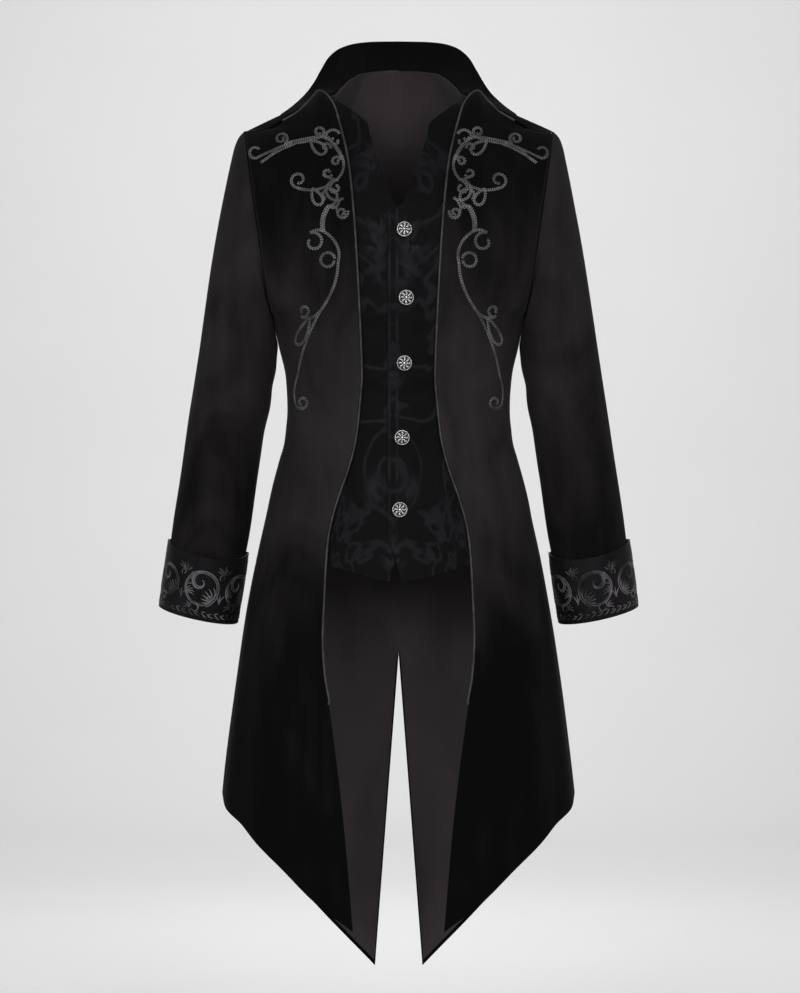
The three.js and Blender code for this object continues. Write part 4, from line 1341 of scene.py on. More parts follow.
class Rope:
    """Closed solids swept along a line."""

    @staticmethod
    def solid(name: str, points: Array, faces: Array, chart: Array | None = None) -> bpy.types.Object:
        """A smooth object from quads and, where a quad's last two corners are the same, triangles.

        Args:
            name: The object's name.
            points: Its vertices in millimetres.
            faces: Rows of four vertex numbers.
            chart: Each vertex's place across and along the rope, if its material follows them.

        Returns:
            The object, linked to the scene.
        """
        rows = [list(dict.fromkeys(face)) for face in faces.tolist()]
        made = bpy.data.meshes.new(name)
        made.from_pydata(Cloth.place(points).tolist(), [], rows)
        made.validate()
        spread = points[faces[:, :3]]
        rest = points[faces[:, [0, 2, 3]]]
        volume = sum(np.einsum("ij,ij->i", p[:, 0], np.cross(p[:, 1], p[:, 2])).sum() for p in (spread, rest))
        if volume < 0:
            made.flip_normals()
        made.polygons.foreach_set("use_smooth", np.ones(len(made.polygons), bool))
        piece = bpy.data.objects.new(name, made)
        bpy.context.scene.collection.objects.link(piece)
        if chart is not None:
            Cloth.chart(piece, chart)
        return piece

    @staticmethod
    def resampled(places: Array, step: float) -> Array:
        """Places along a line, evenly spaced."""
        length = np.concatenate([[0], np.cumsum(np.linalg.norm(np.diff(places, axis=0), axis=1))])
        count = max(4, int(length[-1] / step))
        marks = np.linspace(0, length[-1], count + 1)
        return np.stack([np.interp(marks, length, places[:, k]) for k in range(places.shape[1])], -1)

    @staticmethod
    def charted(strands: Sequence[tuple[Array, Array]], corners: int, stitch: float) -> Array:
        """Each vertex's place across its strand, from -1 to 1, and along it in stitches."""
        share = np.append(np.linspace(-1, 1, corners - 1), 0.0)
        parts = []
        for points, _ in strands:
            runs = np.arange(len(points) // corners) * stitch
            parts.append(np.stack(np.broadcast_arrays(share[None, :], runs[:, None]), -1).reshape(-1, 2))
        return np.concatenate(parts)

    @staticmethod
    def together(strands: Sequence[tuple[Array, Array]]) -> tuple[Array, Array]:
        """The points and faces of several solids, as one mesh."""
        starts = np.cumsum([0] + [len(points) for points, _ in strands])
        faces = [face + start for (_, face), start in zip(strands, starts)]
        return np.concatenate([points for points, _ in strands]), np.concatenate(faces)

    @staticmethod
    def swept(line: Array, out: Array, section: Callable, corners: int) -> tuple[Array, Array]:
        """A section carried along a line.

        Args:
            line: The line's points.
            out: The direction away from the cloth at each.
            section: Gives the section's sideways and outward places for each point of the line.
            corners: How many corners it has.

        Returns:
            The points and the faces.
        """
        along = np.gradient(line, axis=0)
        along /= np.linalg.norm(along, axis=-1, keepdims=True)
        side = np.cross(along, out)
        side /= np.linalg.norm(side, axis=-1, keepdims=True)
        a, b = section(len(line))
        points = line[:, None] + side[:, None] * a[..., None] + out[:, None] * b[..., None]
        index = np.arange(len(line) * corners).reshape(len(line), corners)
        ahead = np.roll(index, -1, 1)
        quads = np.stack([index[:-1], ahead[:-1], ahead[1:], index[1:]], -1).reshape(-1, 4)
        caps = []
        for row, turned in ((index[0], False), (index[-1], True)):
            for k in range(1, corners - 1, 2):
                last = row[min(k + 2, corners - 1)]
                quad = [row[0], row[k], row[k + 1], last]
                caps.append(quad[::-1] if turned else quad)
        return points.reshape(-1, 3), np.concatenate([quads, np.array(caps)])


@dataclass
class Sleeves:
    """Two-piece sleeves, each made as one tube of rings, and their turned-back cuffs."""

    dresser: Dresser
    velvet: float = 2.0
    satin: float = 2.4
    segments: int = 72
    rings: tuple[Ring, ...] = (
        Ring(205, -92.4, 168.1, -340.6, 0, 72),
        Ring(212.5, -101, 167.3, -343.6, 0, 71.5),
        Ring(217.5, -113, 166.5, -347, 0, 71),
        Ring(223, -136, 165.2, -353, 0, 70),
        Ring(230.5, -172, 163.8, -360, 1, 67.5),
        Ring(240, -222, 162.1, -368, 1, 64),
        Ring(249, -274, 160.6, -378, 2, 61),
        Ring(257.5, -328, 162, -393, 3, 58.5),
        Ring(265, -378, 164.7, -413, 4, 56.5),
        Ring(271, -421, 169, -441, 4, 55),
        Ring(278, -468, 176.2, -484, 3, 53),
        Ring(285, -515, 184.5, -530, 0, 51),
        Ring(292, -562, 190.5, -577, -4, 48.5),
        Ring(298.5, -609, 197, -624, -9, 46),
        Ring(304, -652, 205.2, -669, -13, 44),
        Ring(308.6, -690, 210.6, -709, -16, 43),
        Ring(313, -720, 216.8, -741, -18, 42.5, 4),
    )
    cuff_rings: tuple[Ring, ...] = (
        Ring(306, -634, 198, -652, -12, 48.8, 15),
        Ring(309.8, -663, 201.8, -683, -14, 48, 12),
        Ring(313.8, -692, 206.6, -714, -16, 47.2, 9),
        Ring(317.4, -722, 211.8, -745, -18, 46.6, 6),
    )

    def turns(self) -> Array:
        """Angles round the arm, 0 on its outer side and a quarter turn at the front."""
        return np.linspace(0, 2 * math.pi, self.segments + 1)[:-1]

    def tube(self, rings: Sequence[Ring], count: int) -> Array:
        """A tube's outer points through a table of rings."""
        marks = np.linspace(0, len(rings) - 1, count)
        read = {
            name: Curve([(i, getattr(ring, name)) for i, ring in enumerate(rings)])(marks)
            for name in ("out_x", "out_z", "in_x", "in_z", "y", "deep", "dip")
        }
        out = np.stack([read["out_x"], read["y"], read["out_z"]], -1)
        under = np.stack([read["in_x"], read["y"], read["in_z"]], -1)
        middle, arm = (out + under) / 2, (out - under) / 2
        turn = self.turns()
        points = middle[:, None] + arm[:, None] * np.cos(turn)[None, :, None]
        points[..., 1] -= read["deep"][:, None] * np.sin(turn)
        points[..., 2] -= read["dip"][:, None] * np.clip(np.sin(turn), 0, 1)
        return points

    def folded(self, grid: Array, side: Side) -> Array:
        """The sleeve's grid with its folds, which leave the armhole and the cuff as they are."""
        rings = np.linspace(0, len(self.rings) - 1, grid.shape[0])[:, None]
        turn = self.turns()[None, :]
        amount = Drape.swell(turn * 50, rings * 40, side.value * 0.9, 0.5)
        for i, fold in enumerate(SLEEVE_FOLDS):
            apart = np.angle(np.exp(1j * (turn - math.radians(fold.angle + side.value * 8 * math.sin(i)))))
            across = (rings - fold.ring - fold.slant * apart) / fold.width
            strength = fold.depth * (1 + 0.25 * side.value * math.cos(2.1 * i))
            amount = amount + strength * np.exp(-(across**2)) * np.exp(-((apart / fold.reach) ** 2))
        inner = np.exp(-((np.angle(np.exp(1j * (turn - math.pi))) / 0.75) ** 2))
        calm = 1 - inner * (0.55 + 0.4 * np.clip(8 - rings, 0, 1))
        hold = calm * np.clip(rings / 2.2, 0, 1) * np.clip((13.6 - rings) / 1.5, 0, 1)
        return Cloth.moved(grid, amount * hold, wrap=True)

    @staticmethod
    def clear_of_armhole(side: Side) -> Callable:
        """A trim that keeps the sleeve's first ring outside the armhole's edge."""

        def trim(points: Array) -> Array:
            """Moves the first ring's inner points out where they would meet the coat."""
            least = HALF_WIDTH(points[0, :, 2]) + 2 * SEAM_GAP
            points[0, :, 0] = side.value * np.maximum(side.value * points[0, :, 0], least)
            return points

        return trim

    def build(self) -> dict[Side, Array]:
        """Builds both sleeves and cuffs.

        Returns:
            Each cuff's outer points, for its scrolls.
        """
        cuffs = {}
        for side in Side:
            flip = np.array([side.value, 1, 1])
            sleeve = self.folded(self.tube(self.rings, 150), side)
            piece = Cloth.shell(
                f"velvet_sleeve_{side.word}",
                sleeve * flip,
                self.velvet,
                wrap=True,
                trim=self.clear_of_armhole(side),
            )
            Cloth.soften(piece, 0.4)
            node = f"sleeve_{side.word}"
            rests_on = [f"back_{side.word}"]
            self.dresser.cloth(piece, self.closed(sleeve), "velvet_sleeve", "velvet", node, rests_on)
            cuff = self.tube(self.cuff_rings, 30)
            turn = self.turns()[None, :]
            ease = np.linspace(0, 1, 30)[:, None]
            cuff = Cloth.moved(cuff, Drape.swell(turn * 50, ease * 90, side.value, 0.35), wrap=True)
            piece = Cloth.shell(f"satin_cuff_{side.word}", cuff * flip, self.satin, wrap=True)
            Cloth.soften(piece, 0.8)
            node = f"cuff_{side.word}"
            rests_on = [f"sleeve_{side.word}"]
            self.dresser.cloth(piece, self.closed(cuff), "cuff_satin", "jacquard", node, rests_on)
            cuffs[side] = cuff
        return cuffs

    @staticmethod
    def closed(grid: Array) -> Array:
        """A tube's grid with its first column repeated, as the cut's other edge."""
        return np.concatenate([grid, grid[:, :1]], axis=1)


@dataclass(frozen=True)
class CollarStation:
    """A place along the collar: where its seam is, by sweep or by distance out, and its free edge."""

    sweep: float
    out: float
    edge_x: float
    edge_y: float
    edge_z: float


@dataclass
class Collar:
    """The velvet stand collar, turned out over the shoulders."""

    dresser: Dresser
    cloth: float = 2.6
    roll: float = 3.5
    lift: float = 0.05
    tuck: float = 1.1
    behind_seam: float = 6.8
    stations: tuple[CollarStation, ...] = (
        CollarStation(0.638, 0, 0, 83, 40),
        CollarStation(0.65, 0, 31, 80, 39),
        CollarStation(0.67, 0, 58, 72, 35.5),
        CollarStation(0.72, 0, 80, 60, 27),
        CollarStation(0.8, 0, 95, 44, 12),
        CollarStation(0.9, 0, 105, 29, -8),
        CollarStation(1.0, 0, 113, 17, -26),
        CollarStation(0, 100, 121, 9, -40),
        CollarStation(0, 114, 131, 5, -51),
        CollarStation(0, 132, 143, -2, -62),
        CollarStation(0, 155, 156.5, -16, -73),
    )

    def seam(self, sweep: float, out: float) -> Array:
        """A place on the neck edge, by its sweep or, past the neck, by its distance out."""
        if out:
            x = np.array([out])
            low, high = np.array([-140.0]), BACK.ridge(x)
            for _ in range(40):
                z = (low + high) / 2
                ahead = Shell.depth(OVER_SHOULDER, x, z) > Shell.seam(x) - self.behind_seam
                low, high = np.where(ahead, z, low), np.where(ahead, high, z)
            found = Shell.point(OVER_SHOULDER, x, low)[0]
        else:
            face = OVER_SHOULDER if sweep >= 1 else BACK
            neck = float(Shell.neckline(sweep))
            found = Shell.upper(face, lambda z, _: neck, np.zeros(1), np.array([sweep]))[0]
        return found + np.array([0, 0, self.lift])

    def seams(self, marks: Array) -> Array:
        """The whole seam, at marks that count the stations."""
        turns = next(i for i, station in enumerate(self.stations) if station.out)
        back = Curve([(i, station.sweep) for i, station in enumerate(self.stations[:turns])])
        front = Curve([(i + turns, station.out) for i, station in enumerate(self.stations[turns:])])
        before, after = marks[marks <= turns - 1], marks[marks >= turns]
        found = [self.seam(float(back(mark)), 0) for mark in before]
        found += [self.seam(0, float(front(mark))) for mark in after]
        known = np.concatenate([before, after])
        table = np.array(found)
        return np.stack([Curve(list(zip(known, table[:, k])))(marks) for k in range(3)], -1)

    def grid(self) -> Array:
        """The collar's outer points, from the right tip round the back to the left."""
        edges = np.array([(s.edge_x, s.edge_y, s.edge_z) for s in self.stations])
        last = len(self.stations) - 1
        marks = np.linspace(0, last, 90)
        read = lambda table: np.stack([Curve(list(enumerate(table[:, k])))(marks) for k in range(3)], -1)
        seam, edge = self.seams(marks), read(edges)
        out = np.stack([edge[:, 0] * 0.6, edge[:, 1], np.full(len(marks), -12.0)], -1)
        out /= np.linalg.norm(out, axis=-1, keepdims=True)
        bow = self.roll * (1 - marks / last)
        t = np.linspace(0, 1, 18)
        half = mix(seam[:, None], edge[:, None], t[None, :, None])
        half = half + out[:, None] * (bow[:, None] * np.sin(math.pi * t))[..., None]
        rise = edge - seam
        half[:, 0] -= self.tuck * rise / np.linalg.norm(rise, axis=1, keepdims=True)
        other = half[:0:-1] * np.array([-1, 1, 1])
        whole = np.concatenate([other, half])
        along = np.concatenate([-marks[:0:-1], marks])[:, None]
        wave = 0.7 * np.sin(1.9 * along + 0.6) * np.sin(math.pi * t)[None, :]
        amount = wave * np.clip((9.5 - np.abs(along)) / 2, 0, 1)
        return Cloth.moved(whole, amount)

    def build(self) -> None:
        """Builds and dresses the collar."""
        grid = self.grid()
        last = len(self.stations) - 1
        marks = np.linspace(0, last, 90)
        along = np.concatenate([marks[:0:-1], marks])
        thickness = self.cloth - 1.2 * np.clip((along - 7) / (last - 7), 0, 1)
        piece = Cloth.shell("stand_collar", grid, thickness[:, None])
        Cloth.soften(piece, 0.9)
        self.dresser.cloth(piece, grid, "velvet_collar", "velvet", "collar", ["back_left", "back_right"])


@dataclass
class Piping:
    """The satin piping along each front's free edge, the peak at the neck and the shoulder seam."""

    dresser: Dresser
    velvet: float = 2.2
    proud: float = 0.6
    tip: float = 155.0
    corners: int = 12

    def line(self, front: Array) -> tuple[Array, Array]:
        """The piping's centre line and the direction out of the cloth at each point.

        Args:
            front: The front panel's outer points.

        Returns:
            The points and the directions.
        """
        edge = [(row[0], row[1]) for row in front if row[0, 2] >= PIPING_END]
        top = [(front[-1, c], front[-2, c]) for c in range(1, front.shape[1]) if front[-1, c, 0] < self.tip]
        pairs = np.array(edge + top)
        place, within = pairs[:, 0], pairs[:, 1]
        along = np.gradient(place, axis=0)
        along /= np.linalg.norm(along, axis=-1, keepdims=True)
        off = place - within
        off -= along * np.sum(off * along, axis=-1, keepdims=True)
        off /= np.linalg.norm(off, axis=-1, keepdims=True)
        thick = np.cross(along, off)
        thick *= np.sign(np.sum(thick * place * [1, 1, 0], axis=-1, keepdims=True))
        rise = np.where(np.arange(len(pairs)) < len(edge), -self.velvet / 2, self.proud)[:, None]
        line = place + off * (PIPING_DIAMETER / 2 + SEAM_GAP) + thick * rise
        line[1:-1] = (line[:-2] + 2 * line[1:-1] + line[2:]) / 4
        line = np.concatenate([line[:1] + [[1.6, 0.4, -2.6]], line])
        thick = np.concatenate([thick[:1], thick])
        return line, thick

    def section(self, count: int) -> tuple[Array, Array]:
        """A round section that is twisted finely, as bias-cut satin over a cord is."""
        turn = np.linspace(0, 2 * math.pi, self.corners + 1)[:-1][None, :]
        run = np.arange(count)[:, None]
        reach = PIPING_DIAMETER / 2 * (1 + 0.03 * np.sin(turn * 2 + run * 0.9))
        return reach * np.cos(turn), reach * np.sin(turn)

    def build(self, fronts: dict[Side, Array]) -> None:
        """Builds and dresses the piping of both fronts."""
        for side, front in fronts.items():
            line, out = self.line(front)
            both = Rope.resampled(np.concatenate([line, out], axis=1), 2.2)
            line, out = both[:, :3], both[:, 3:] / np.linalg.norm(both[:, 3:], axis=1, keepdims=True)
            points, faces = Rope.swept(line, out, self.section, self.corners)
            piece = Rope.solid(f"satin_piping_{side.word}", points * [side.value, 1, 1], faces)
            self.dresser.dress(piece, "piping", "piping", [f"piping_{side.word}"])


@dataclass(frozen=True)
class Volute:
    """A scroll that winds in from its radius. Angles are in degrees, turning up from away from the centre."""

    x: float
    z: float
    radius: float
    angle: float
    turn: float
    tight: float

    def places(self) -> Array:
        """Places along it."""
        t = np.linspace(0, 1, 80)
        bearing = np.radians(self.angle + self.turn * t)
        reach = self.radius * (1 - (1 - self.tight) * t)
        return np.stack([self.x + reach * np.cos(bearing), self.z + reach * np.sin(bearing)], -1)


@dataclass(frozen=True)
class Stem:
    """A smooth line through three places."""

    from_x: float
    from_z: float
    via_x: float
    via_z: float
    to_x: float
    to_z: float

    def places(self) -> Array:
        """Places along it."""
        t = np.linspace(0, 1, 40)[:, None]
        a, b, c = ([self.from_x, self.from_z], [self.via_x, self.via_z], [self.to_x, self.to_z])
        start, middle, end = np.array(a), np.array(b), np.array(c)
        return start * (1 - t) * (1 - 2 * t) + 4 * middle * t * (1 - t) + end * t * (2 * t - 1)


@dataclass(frozen=True)
class Leaf:
    """A pointed loop with its tip at one end."""

    x: float
    z: float
    angle: float
    length: float
    width: float

    def places(self) -> Array:
        """Places round it."""
        t = np.linspace(0, 1, 60)
        lean = math.radians(self.angle)
        along = self.length * (1 - np.cos(2 * math.pi * t)) / 2
        aside = self.width * np.sin(2 * math.pi * t) * np.sin(math.pi * t) * 0.75
        x = self.x + along * math.cos(lean) - aside * math.sin(lean)
        return np.stack([x, self.z + along * math.sin(lean) + aside * math.cos(lean)], -1)


BRAID_VOLUTES = (
    Volute(187, -127, 9.5, -90, 235, 0.55),
    Volute(154, -109, 9, 235, -460, 0.3),
    Volute(104, -102, 7.5, 250, -400, 0.35),
    Volute(86, -109, 9.5, 160, -190, 0.9),
    Volute(82, -116, 5.5, 60, -290, 0.5),
    Volute(94, -123.5, 6, -160, -330, 0.4),
    Volute(81, -143, 6.5, 165, -400, 0.35),
    Volute(92, -158.5, 6.5, -155, 330, 0.4),
    Volute(130, -166.5, 11, -95, 385, 0.4),
    Volute(80, -181.5, 13.5, 100, -230, 1.02),
    Volute(91, -189, 14, -85, -330, 0.38),
    Volute(82, -179, 7.5, 60, -330, 0.45),
    Volute(73, -211.5, 8, 165, 480, 0.25),
    Volute(110, -249, 13, 70, 330, 0.45),
    Volute(91.5, -272.5, 9.5, 170, -345, 0.9),
    Volute(123, -337, 7.5, -110, -290, 0.4),
    Volute(126, -455, 9.5, 10, -450, 0.3),
)
BRAID_STEMS = (
    Stem(187, -136.5, 160, -123, 138, -114.5),
    Stem(180, -142.5, 170, -135, 160, -124),
    Stem(149, -116.5, 133, -112.5, 106, -109),
    Stem(106, -109, 89, -115, 75, -133),
    Stem(74.5, -135, 71.5, -153, 81, -169),
    Stem(131, -177.5, 104, -180, 80, -167),
    Stem(97, -161, 88, -166, 80, -168.5),
    Stem(88, -202, 96, -218, 96, -237),
    Stem(84, -203.5, 80.5, -205, 79, -211),
    Stem(114, -236.5, 105, -233.5, 96, -236),
    Stem(97, -235, 79.5, -254, 78, -277),
    Stem(78, -277, 84, -308, 101, -338),
    Stem(101, -338, 121, -379, 132, -420),
    Stem(132, -420, 136.5, -438, 135.5, -455),
    Stem(101, -338, 113, -346, 126, -344),
    Stem(180, -142.5, 158, -127, 134, -116.5),
    Stem(134, -116, 112, -113, 96, -107),
    Stem(92, -110, 82, -124, 73.5, -138),
    Stem(92, -203, 99, -219, 98.5, -236),
    Stem(88, -203, 81, -204, 76, -194),
)
BRAID_LEAVES = (
    Leaf(115, -114, 222, 26, 12),
    Leaf(112, -179, 242, 24, 11),
    Leaf(115, -346, 297, 38, 11),
)


@dataclass
class Scrolls:
    """Chain-stitched scrolls of cord, laid on both fronts."""

    dresser: Dresser
    half_width: float = 2.25
    height: float = 1.8
    stitch: float = 3.2
    step: float = 0.55
    sunk: float = 0.25
    corners: int = 9

    def section(self, count: int) -> tuple[Array, Array]:
        """A flat-backed section of two plies, whose stitches swell and meet in turn."""
        share = np.linspace(0, 1, self.corners - 1)[None, :]
        lean = share * 2 - 1
        run = (np.arange(count) * self.step / self.stitch)[:, None]
        ply = np.abs(np.sin(math.pi * (run + 0.55 * np.abs(lean))))
        width = self.half_width * (0.86 + 0.14 * np.abs(np.sin(math.pi * (run + 0.55))))
        groove = 1 - 0.3 * np.exp(-((lean / 0.2) ** 2))
        high = self.height * np.sqrt(np.clip(1 - lean**2, 0, 1)) * groove * (0.66 + 0.34 * ply) - self.sunk
        across = np.concatenate([-width * lean, np.zeros_like(width)], axis=1)
        return across, np.concatenate([high, np.full_like(width, -self.sunk)], axis=1)

    @staticmethod
    def tree(grid: Array) -> BVHTree:
        """A search tree over a grid of points."""
        rows, cols = grid.shape[:2]
        index = np.arange(rows * cols).reshape(rows, cols)
        faces = np.stack([index[:-1, :-1], index[:-1, 1:], index[1:, 1:], index[1:, :-1]], -1).reshape(-1, 4)
        return BVHTree.FromPolygons(grid.reshape(-1, 3).tolist(), faces.tolist())

    def laid(self, places: Array, tree: BVHTree) -> tuple[Array, Array]:
        """A line of places laid on a front.

        Args:
            places: Its x and z.
            tree: The front's surface.

        Returns:
            The points on the front and the directions out of it.
        """
        found = [tree.ray_cast(Vector((x, -400.0, z)), Vector((0, 1, 0))) for x, z in places]
        hits = [(hit, out) for hit, out, _, _ in found if hit is not None]
        points = np.array([tuple(hit) for hit, _ in hits])
        out = np.array([tuple(out) for _, out in hits])
        out *= -np.sign(out[:, 1:2])
        for _ in range(4):
            out[1:-1] = out[:-2] + out[1:-1] + out[2:]
            out /= np.linalg.norm(out, axis=1, keepdims=True)
        return points, out

    def build(self, fronts: dict[Side, Array]) -> None:
        """Builds and dresses the scrolls of both fronts."""
        figures = [*BRAID_VOLUTES, *BRAID_STEMS, *BRAID_LEAVES]
        for side, front in fronts.items():
            tree = self.tree(front)
            strands = []
            for figure in figures:
                line, out = self.laid(Rope.resampled(figure.places(), 1.2), tree)
                both = Rope.resampled(np.concatenate([line, out], axis=1), self.step)
                out = both[:, 3:] / np.linalg.norm(both[:, 3:], axis=1, keepdims=True)
                strands.append(Rope.swept(both[:, :3], out, self.section, self.corners))
            points, faces = Rope.together(strands)
            chart = Rope.charted(strands, self.corners, self.step / self.stitch)
            piece = Rope.solid(f"scroll_braid_{side.word}", points * [side.value, 1, 1], faces, chart)
            self.dresser.dress(piece, "braid", "piping", [])


@dataclass(frozen=True)
class Stroke:
    """A figure worked in ribbon: half the ribbon's width, and how much it narrows to its ends."""

    figure: Volute | Stem
    half_width: float
    narrowing: float

    @classmethod
    def leaf(
        cls, x: float, z: float, angle: float, length: float, bend: float, half_width: float = 1.0
    ) -> Self:
        """A pointed leaf as one curved stroke.

        Args:
            x: The way round at its root.
            z: The height at its root.
            angle: Its direction in degrees.
            length: Its length.
            bend: How far it bows to its left, as a share of its length.
            half_width: Half its width.

        Returns:
            The stroke.
        """
        lean = math.radians(angle)
        run, rise = length * math.cos(lean), length * math.sin(lean)
        stem = Stem(x, z, x + run / 2 - bend * rise, z + rise / 2 + bend * run, x + run, z + rise)
        return cls(stem, half_width, 0.85)


@dataclass
class CuffScrolls:
    """Roundels and leaves worked in ribbon on the cuffs, placed by the way round and the height."""

    dresser: Dresser
    spacing: float = 53.0
    height: float = 0.35
    step: float = 0.8
    corners: int = 7

    def roundel(self, x: float, size: float) -> list[Stroke]:
        """A double ring with a curl and leaves inside it.

        Args:
            x: The way round from the front of the cuff.
            size: Its radius.

        Returns:
            The strokes.
        """
        z, k = 41.0, size / 24
        made = [
            Stroke(Volute(x, z, size, -112, -378, 0.9), 1.0, 0.3),
            Stroke(Volute(x, z, size - 2.7, -105, -352, 0.93), 0.7, 0.4),
            Stroke(Volute(x + 3 * k, z + 8 * k, 13 * k, 100, -330, 0.3), 1.5, 0.55),
            Stroke(Volute(x + 2.5 * k, z + 9 * k, 9.5 * k, 70, -215, 0.55), 0.8, 0.8),
            Stroke(Volute(x + 6 * k, z - 26 * k, 7.5 * k, 50, 305, 0.35), 1.1, 0.5),
            Stroke(Volute(x - 13 * k, z - 13 * k, 5.5 * k, 150, -290, 0.35), 1.0, 0.6),
        ]
        for j in range(6):
            made.append(Stroke.leaf(x - 16 * k, z - 15 * k, 88 - 20 * j, (19 - j) * k, 0.18 - 0.05 * j))
        for j in range(4):
            made.append(Stroke.leaf(x + 19 * k, z - 9 * k, 112 + 26 * j, 11 * k, -0.2, 0.9))
            made.append(Stroke.leaf(x + 12 * k, z - 27 * k, 80 - 32 * j, 10 * k, 0.2, 0.8))
        for j in range(3):
            made.append(Stroke.leaf(x + 13 * k, z + 14 * k - 5 * j, 60 - 38 * j, 6.5 * k, 0.2, 0.8))
        return made

    def strokes(self, round_length: float) -> list[Stroke]:
        """Every stroke of one cuff."""
        made = []
        for i in range(-2, 4):
            made += self.roundel(i * self.spacing, 24.0 if i % 2 == 0 else 20.5)
            between = (i + 0.5) * self.spacing
            made += [Stroke.leaf(between, 61, 30 + 24 * j, 10 + 2.5 * (j % 2), 0.12, 0.9) for j in range(6)]
            made += [Stroke.leaf(between, 23, 62 + 28 * j, 14, 0.1 * (1 - j), 0.9) for j in range(3)]
            made.append(Stroke(Volute(between, 58, 4.2, -60, 330, 0.4), 0.8, 0.4))
        count = int(round_length / 9)
        for i in range(count):
            x = (i - count / 2) * 9
            lean = 24 if i % 2 else 38
            made.append(Stroke.leaf(x, 5 + i % 2, lean, 11, -0.14, 1.0))
            made.append(Stroke.leaf(x + 3, 11 - i % 2, lean - 52, 6, 0.25, 0.8))
        return made

    def section(self, count: int, stroke: Stroke) -> tuple[Array, Array]:
        """A thin ribbon's section, for each point of a stroke."""
        run = np.linspace(-1, 1, count)[:, None]
        narrow = 1 - stroke.narrowing * np.abs(run) ** 2.2
        across = np.array([-1, -0.95, -0.5, 0, 0.5, 0.95, 1])[None, :] * stroke.half_width * narrow
        high = np.array([-0.3, 0.14, 0.85, 1, 0.85, 0.14, -0.3])[None, :] * self.height
        return across, high * (1 + 0.2 * np.sin(np.arange(count)[:, None] * 1.9))

    def laid(self, places: Array, cuff: Array) -> tuple[Array, Array]:
        """Places on the flat cuff laid on its surface."""
        rows, cols = cuff.shape[:2]
        around = np.linalg.norm(np.diff(cuff[rows // 2], axis=0, append=cuff[rows // 2][:1]), axis=1)
        length = np.concatenate([[0], np.cumsum(around)])
        front = np.interp(0.25 * cols, np.arange(cols + 1), length)
        col = np.interp((front - places[:, 0]) % length[-1], length, np.arange(cols + 1))
        tall = np.linalg.norm(cuff[0, cols // 4] - cuff[-1, cols // 4])
        row = np.clip((1 - places[:, 1] / tall) * (rows - 1), 0.4, rows - 1.4)
        out = Cloth.normals(cuff, True, Cloth.away(cuff, True))

        def read(grid: Array) -> Array:
            """A grid's value at each row and column, between its points."""
            r, c = np.floor(row).astype(int), np.floor(col).astype(int)
            u, v = (row - r)[:, None], (col - c)[:, None]
            r2, c, c2 = np.minimum(r + 1, rows - 1), c % cols, (c + 1) % cols
            return mix(mix(grid[r, c], grid[r, c2], v), mix(grid[r2, c], grid[r2, c2], v), u)

        return read(cuff), read(out)

    def build(self, cuffs: dict[Side, Array]) -> None:
        """Builds and dresses the ribbons of both cuffs."""
        for side, cuff in cuffs.items():
            strands = []
            length = np.linalg.norm(np.diff(cuff[15], axis=0), axis=1).sum()
            for stroke in self.strokes(length):
                line, out = self.laid(Rope.resampled(stroke.figure.places(), 0.8), cuff)
                both = Rope.resampled(np.concatenate([line, out], axis=1), self.step)
                out = both[:, 3:] / np.linalg.norm(both[:, 3:], axis=1, keepdims=True)
                section = lambda count, drawn=stroke: self.section(count, drawn)
                strands.append(Rope.swept(both[:, :3], out, section, self.corners))
            points, faces = Rope.together(strands)
            piece = Rope.solid(f"cuff_ribbons_{side.word}", points * [side.value, 1, 1], faces)
            self.dresser.dress(piece, "cuff_ribbon", "jacquard", [])


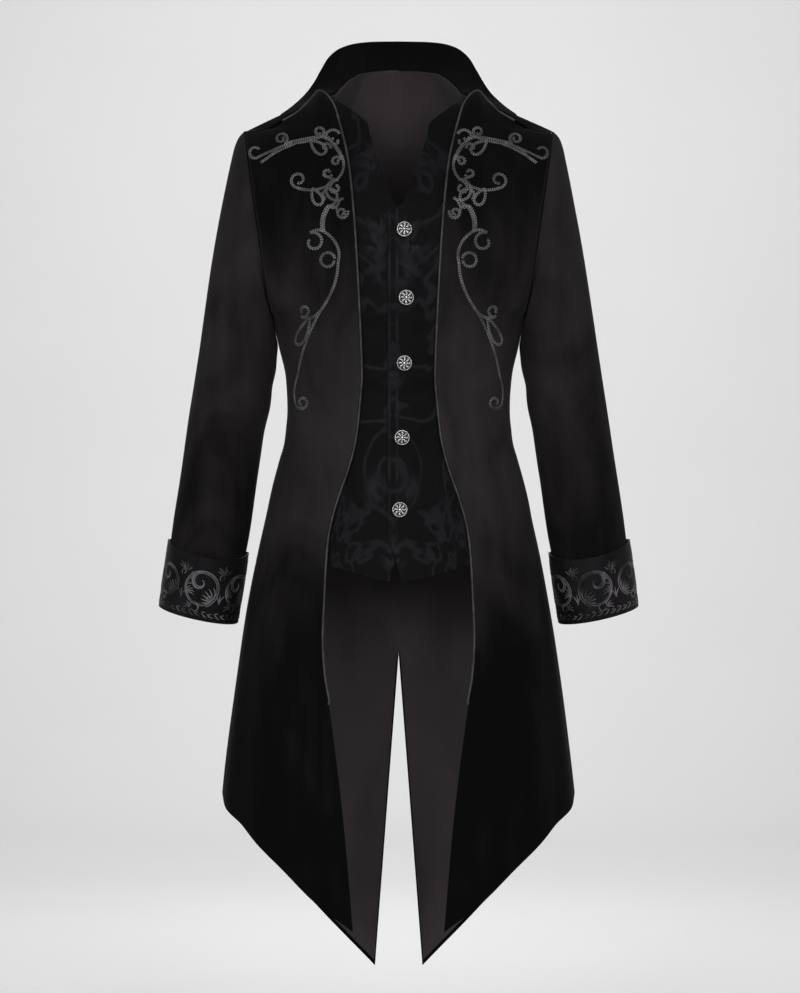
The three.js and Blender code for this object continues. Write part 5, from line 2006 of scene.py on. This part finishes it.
@dataclass
class Studio:
    """The camera, the soft lights and the pale sweep behind and below the coat."""

    distance: float = 3.8
    aim_height: float = -0.575
    aim_x: float = 0.00186
    nape_depth: float = 0.0648
    picture_height: float = 1.321

    def camera(self) -> None:
        """A camera straight in front, framed as the photograph is."""
        data = bpy.data.cameras.new("camera")
        data.sensor_fit = "VERTICAL"
        data.sensor_height = 24.0
        data.lens = 24.0 * self.distance / self.picture_height
        piece = bpy.data.objects.new("camera", data)
        piece.location = (self.aim_x, -self.distance - self.nape_depth, self.aim_height)
        piece.rotation_euler = (math.radians(90), 0, 0)
        bpy.context.scene.collection.objects.link(piece)
        bpy.context.scene.camera = piece

    def light(
        self,
        name: str,
        place: tuple[float, float, float],
        size: float,
        power: float,
        spread: float,
        aim: tuple[float, float, float] = (0.0, 0.0, -0.575),
    ) -> None:
        """A square area light that faces a place, its beam spread in degrees."""
        data = bpy.data.lights.new(name, "AREA")
        data.shape = "SQUARE"
        data.size = size
        data.energy = power
        data.spread = math.radians(spread)
        piece = bpy.data.objects.new(name, data)
        piece.location = place
        piece.visible_camera = False
        toward = Vector(aim) - Vector(place)
        piece.rotation_euler = toward.to_track_quat("-Z", "Y").to_euler()
        bpy.context.scene.collection.objects.link(piece)

    def sweep(self) -> None:
        """A pale floor that curves up into a backdrop."""
        turn = np.linspace(0, math.pi / 2, 13)
        bend = np.stack([3.8 + 1.2 * np.sin(turn), -1.5 + 1.2 * (1 - np.cos(turn))], -1)
        line = np.concatenate([[[-7.0, -1.5]], bend, [[5.0, 4.5]]])
        points = np.array([(x, y, z) for y, z in line for x in (-9.0, 9.0)])
        faces = [(2 * i, 2 * i + 1, 2 * i + 3, 2 * i + 2) for i in range(len(line) - 1)]
        made = bpy.data.meshes.new("sweep")
        made.from_pydata(points.tolist(), [], faces)
        made.polygons.foreach_set("use_smooth", np.ones(len(faces), bool))
        board = Board("pale_paper")
        grain = board.noise(board.place((1.0, 1.0, 1.0)), 3.0, 2)
        made.materials.append(
            board.finish(
                Base_Color=board.blend(grain, (0.80, 0.80, 0.805), (0.83, 0.83, 0.83)), Roughness=0.9
            )
        )
        piece = bpy.data.objects.new("sweep", made)
        bpy.context.scene.collection.objects.link(piece)

    def build(self) -> None:
        """Sets up the whole studio."""
        self.camera()
        self.sweep()
        self.light("key", (-1.0, -3.3, 0.2), 1.2, 14, 90)
        self.light("fill", (1.0, -3.3, 0.2), 1.2, 13, 90)
        self.light("top", (0.0, -0.3, 2.2), 1.8, 8, 150)
        self.light("backdrop", (0.0, 2.2, 1.3), 2.4, 32, 170, (0.0, 5.0, -0.8))
        self.light("behind", (0.0, 3.3, 0.3), 1.8, 9, 110)
        world = bpy.data.worlds.new("studio")
        world.use_nodes = True
        world.node_tree.nodes["Background"].inputs["Color"].default_value = (1.0, 1.0, 1.0, 1.0)
        world.node_tree.nodes["Background"].inputs["Strength"].default_value = 0.50
        scene = bpy.context.scene
        scene.world = world
        scene.view_settings.view_transform = "Standard"
        scene.view_settings.look = "None"


def finishes() -> dict[str, bpy.types.Material]:
    """Every material, by name."""
    made = [
        # Each velvet's three numbers place its painted band: light at the waist on the body, light at mid-sleeve
        # on the sleeves, painted shade over the collar.
        Velvet("velvet", -0.48, 0.36, 0.42),
        Velvet("velvet_sleeve", -0.28, 0.60, 0.30),
        Velvet("velvet_collar", -0.05, 0.10, -0.1),
        Satin("lining", (0.0205, 0.0164, 0.0186), (0.0300, 0.0244, 0.0274)),
        Jacquard(),
        # The paler colours of the cuff satin and of the ribbons are painted highlights.
        Satin(
            "cuff_satin", (0.0012, 0.0011, 0.0014), (0.0066, 0.0057, 0.0069), 0.38, 0.02, 8000.0, 0.06, 20.0, 0.14
        ),
        Satin(
            "cuff_ribbon", (0.006, 0.0056, 0.0064), (0.072, 0.067, 0.074), 0.36, 0.03, 9500.0, 0.22, 44.0, 0.12
        ),
        Cord("piping", (0.009, 0.0087, 0.0093), (0.022, 0.021, 0.023)),
        ChainStitch(),
        AntiqueSilver(),
    ]
    return {finish.name: finish.build() for finish in made}


def main() -> None:
    """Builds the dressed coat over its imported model."""
    logging.basicConfig(level=logging.INFO, format="%(name)s %(message)s")
    dresser = Dresser(finishes())
    fronts = CoatBody(dresser).build()
    waistcoat = Waistcoat(dresser)
    waistcoat.build()
    Buttons(dresser, waistcoat).build()
    cuffs = Sleeves(dresser).build()
    Collar(dresser).build()
    Piping(dresser).build(fronts)
    Scrolls(dresser).build(fronts)
    CuffScrolls(dresser).build(cuffs)
    Studio().build()


if __name__ == "__main__":
    main()
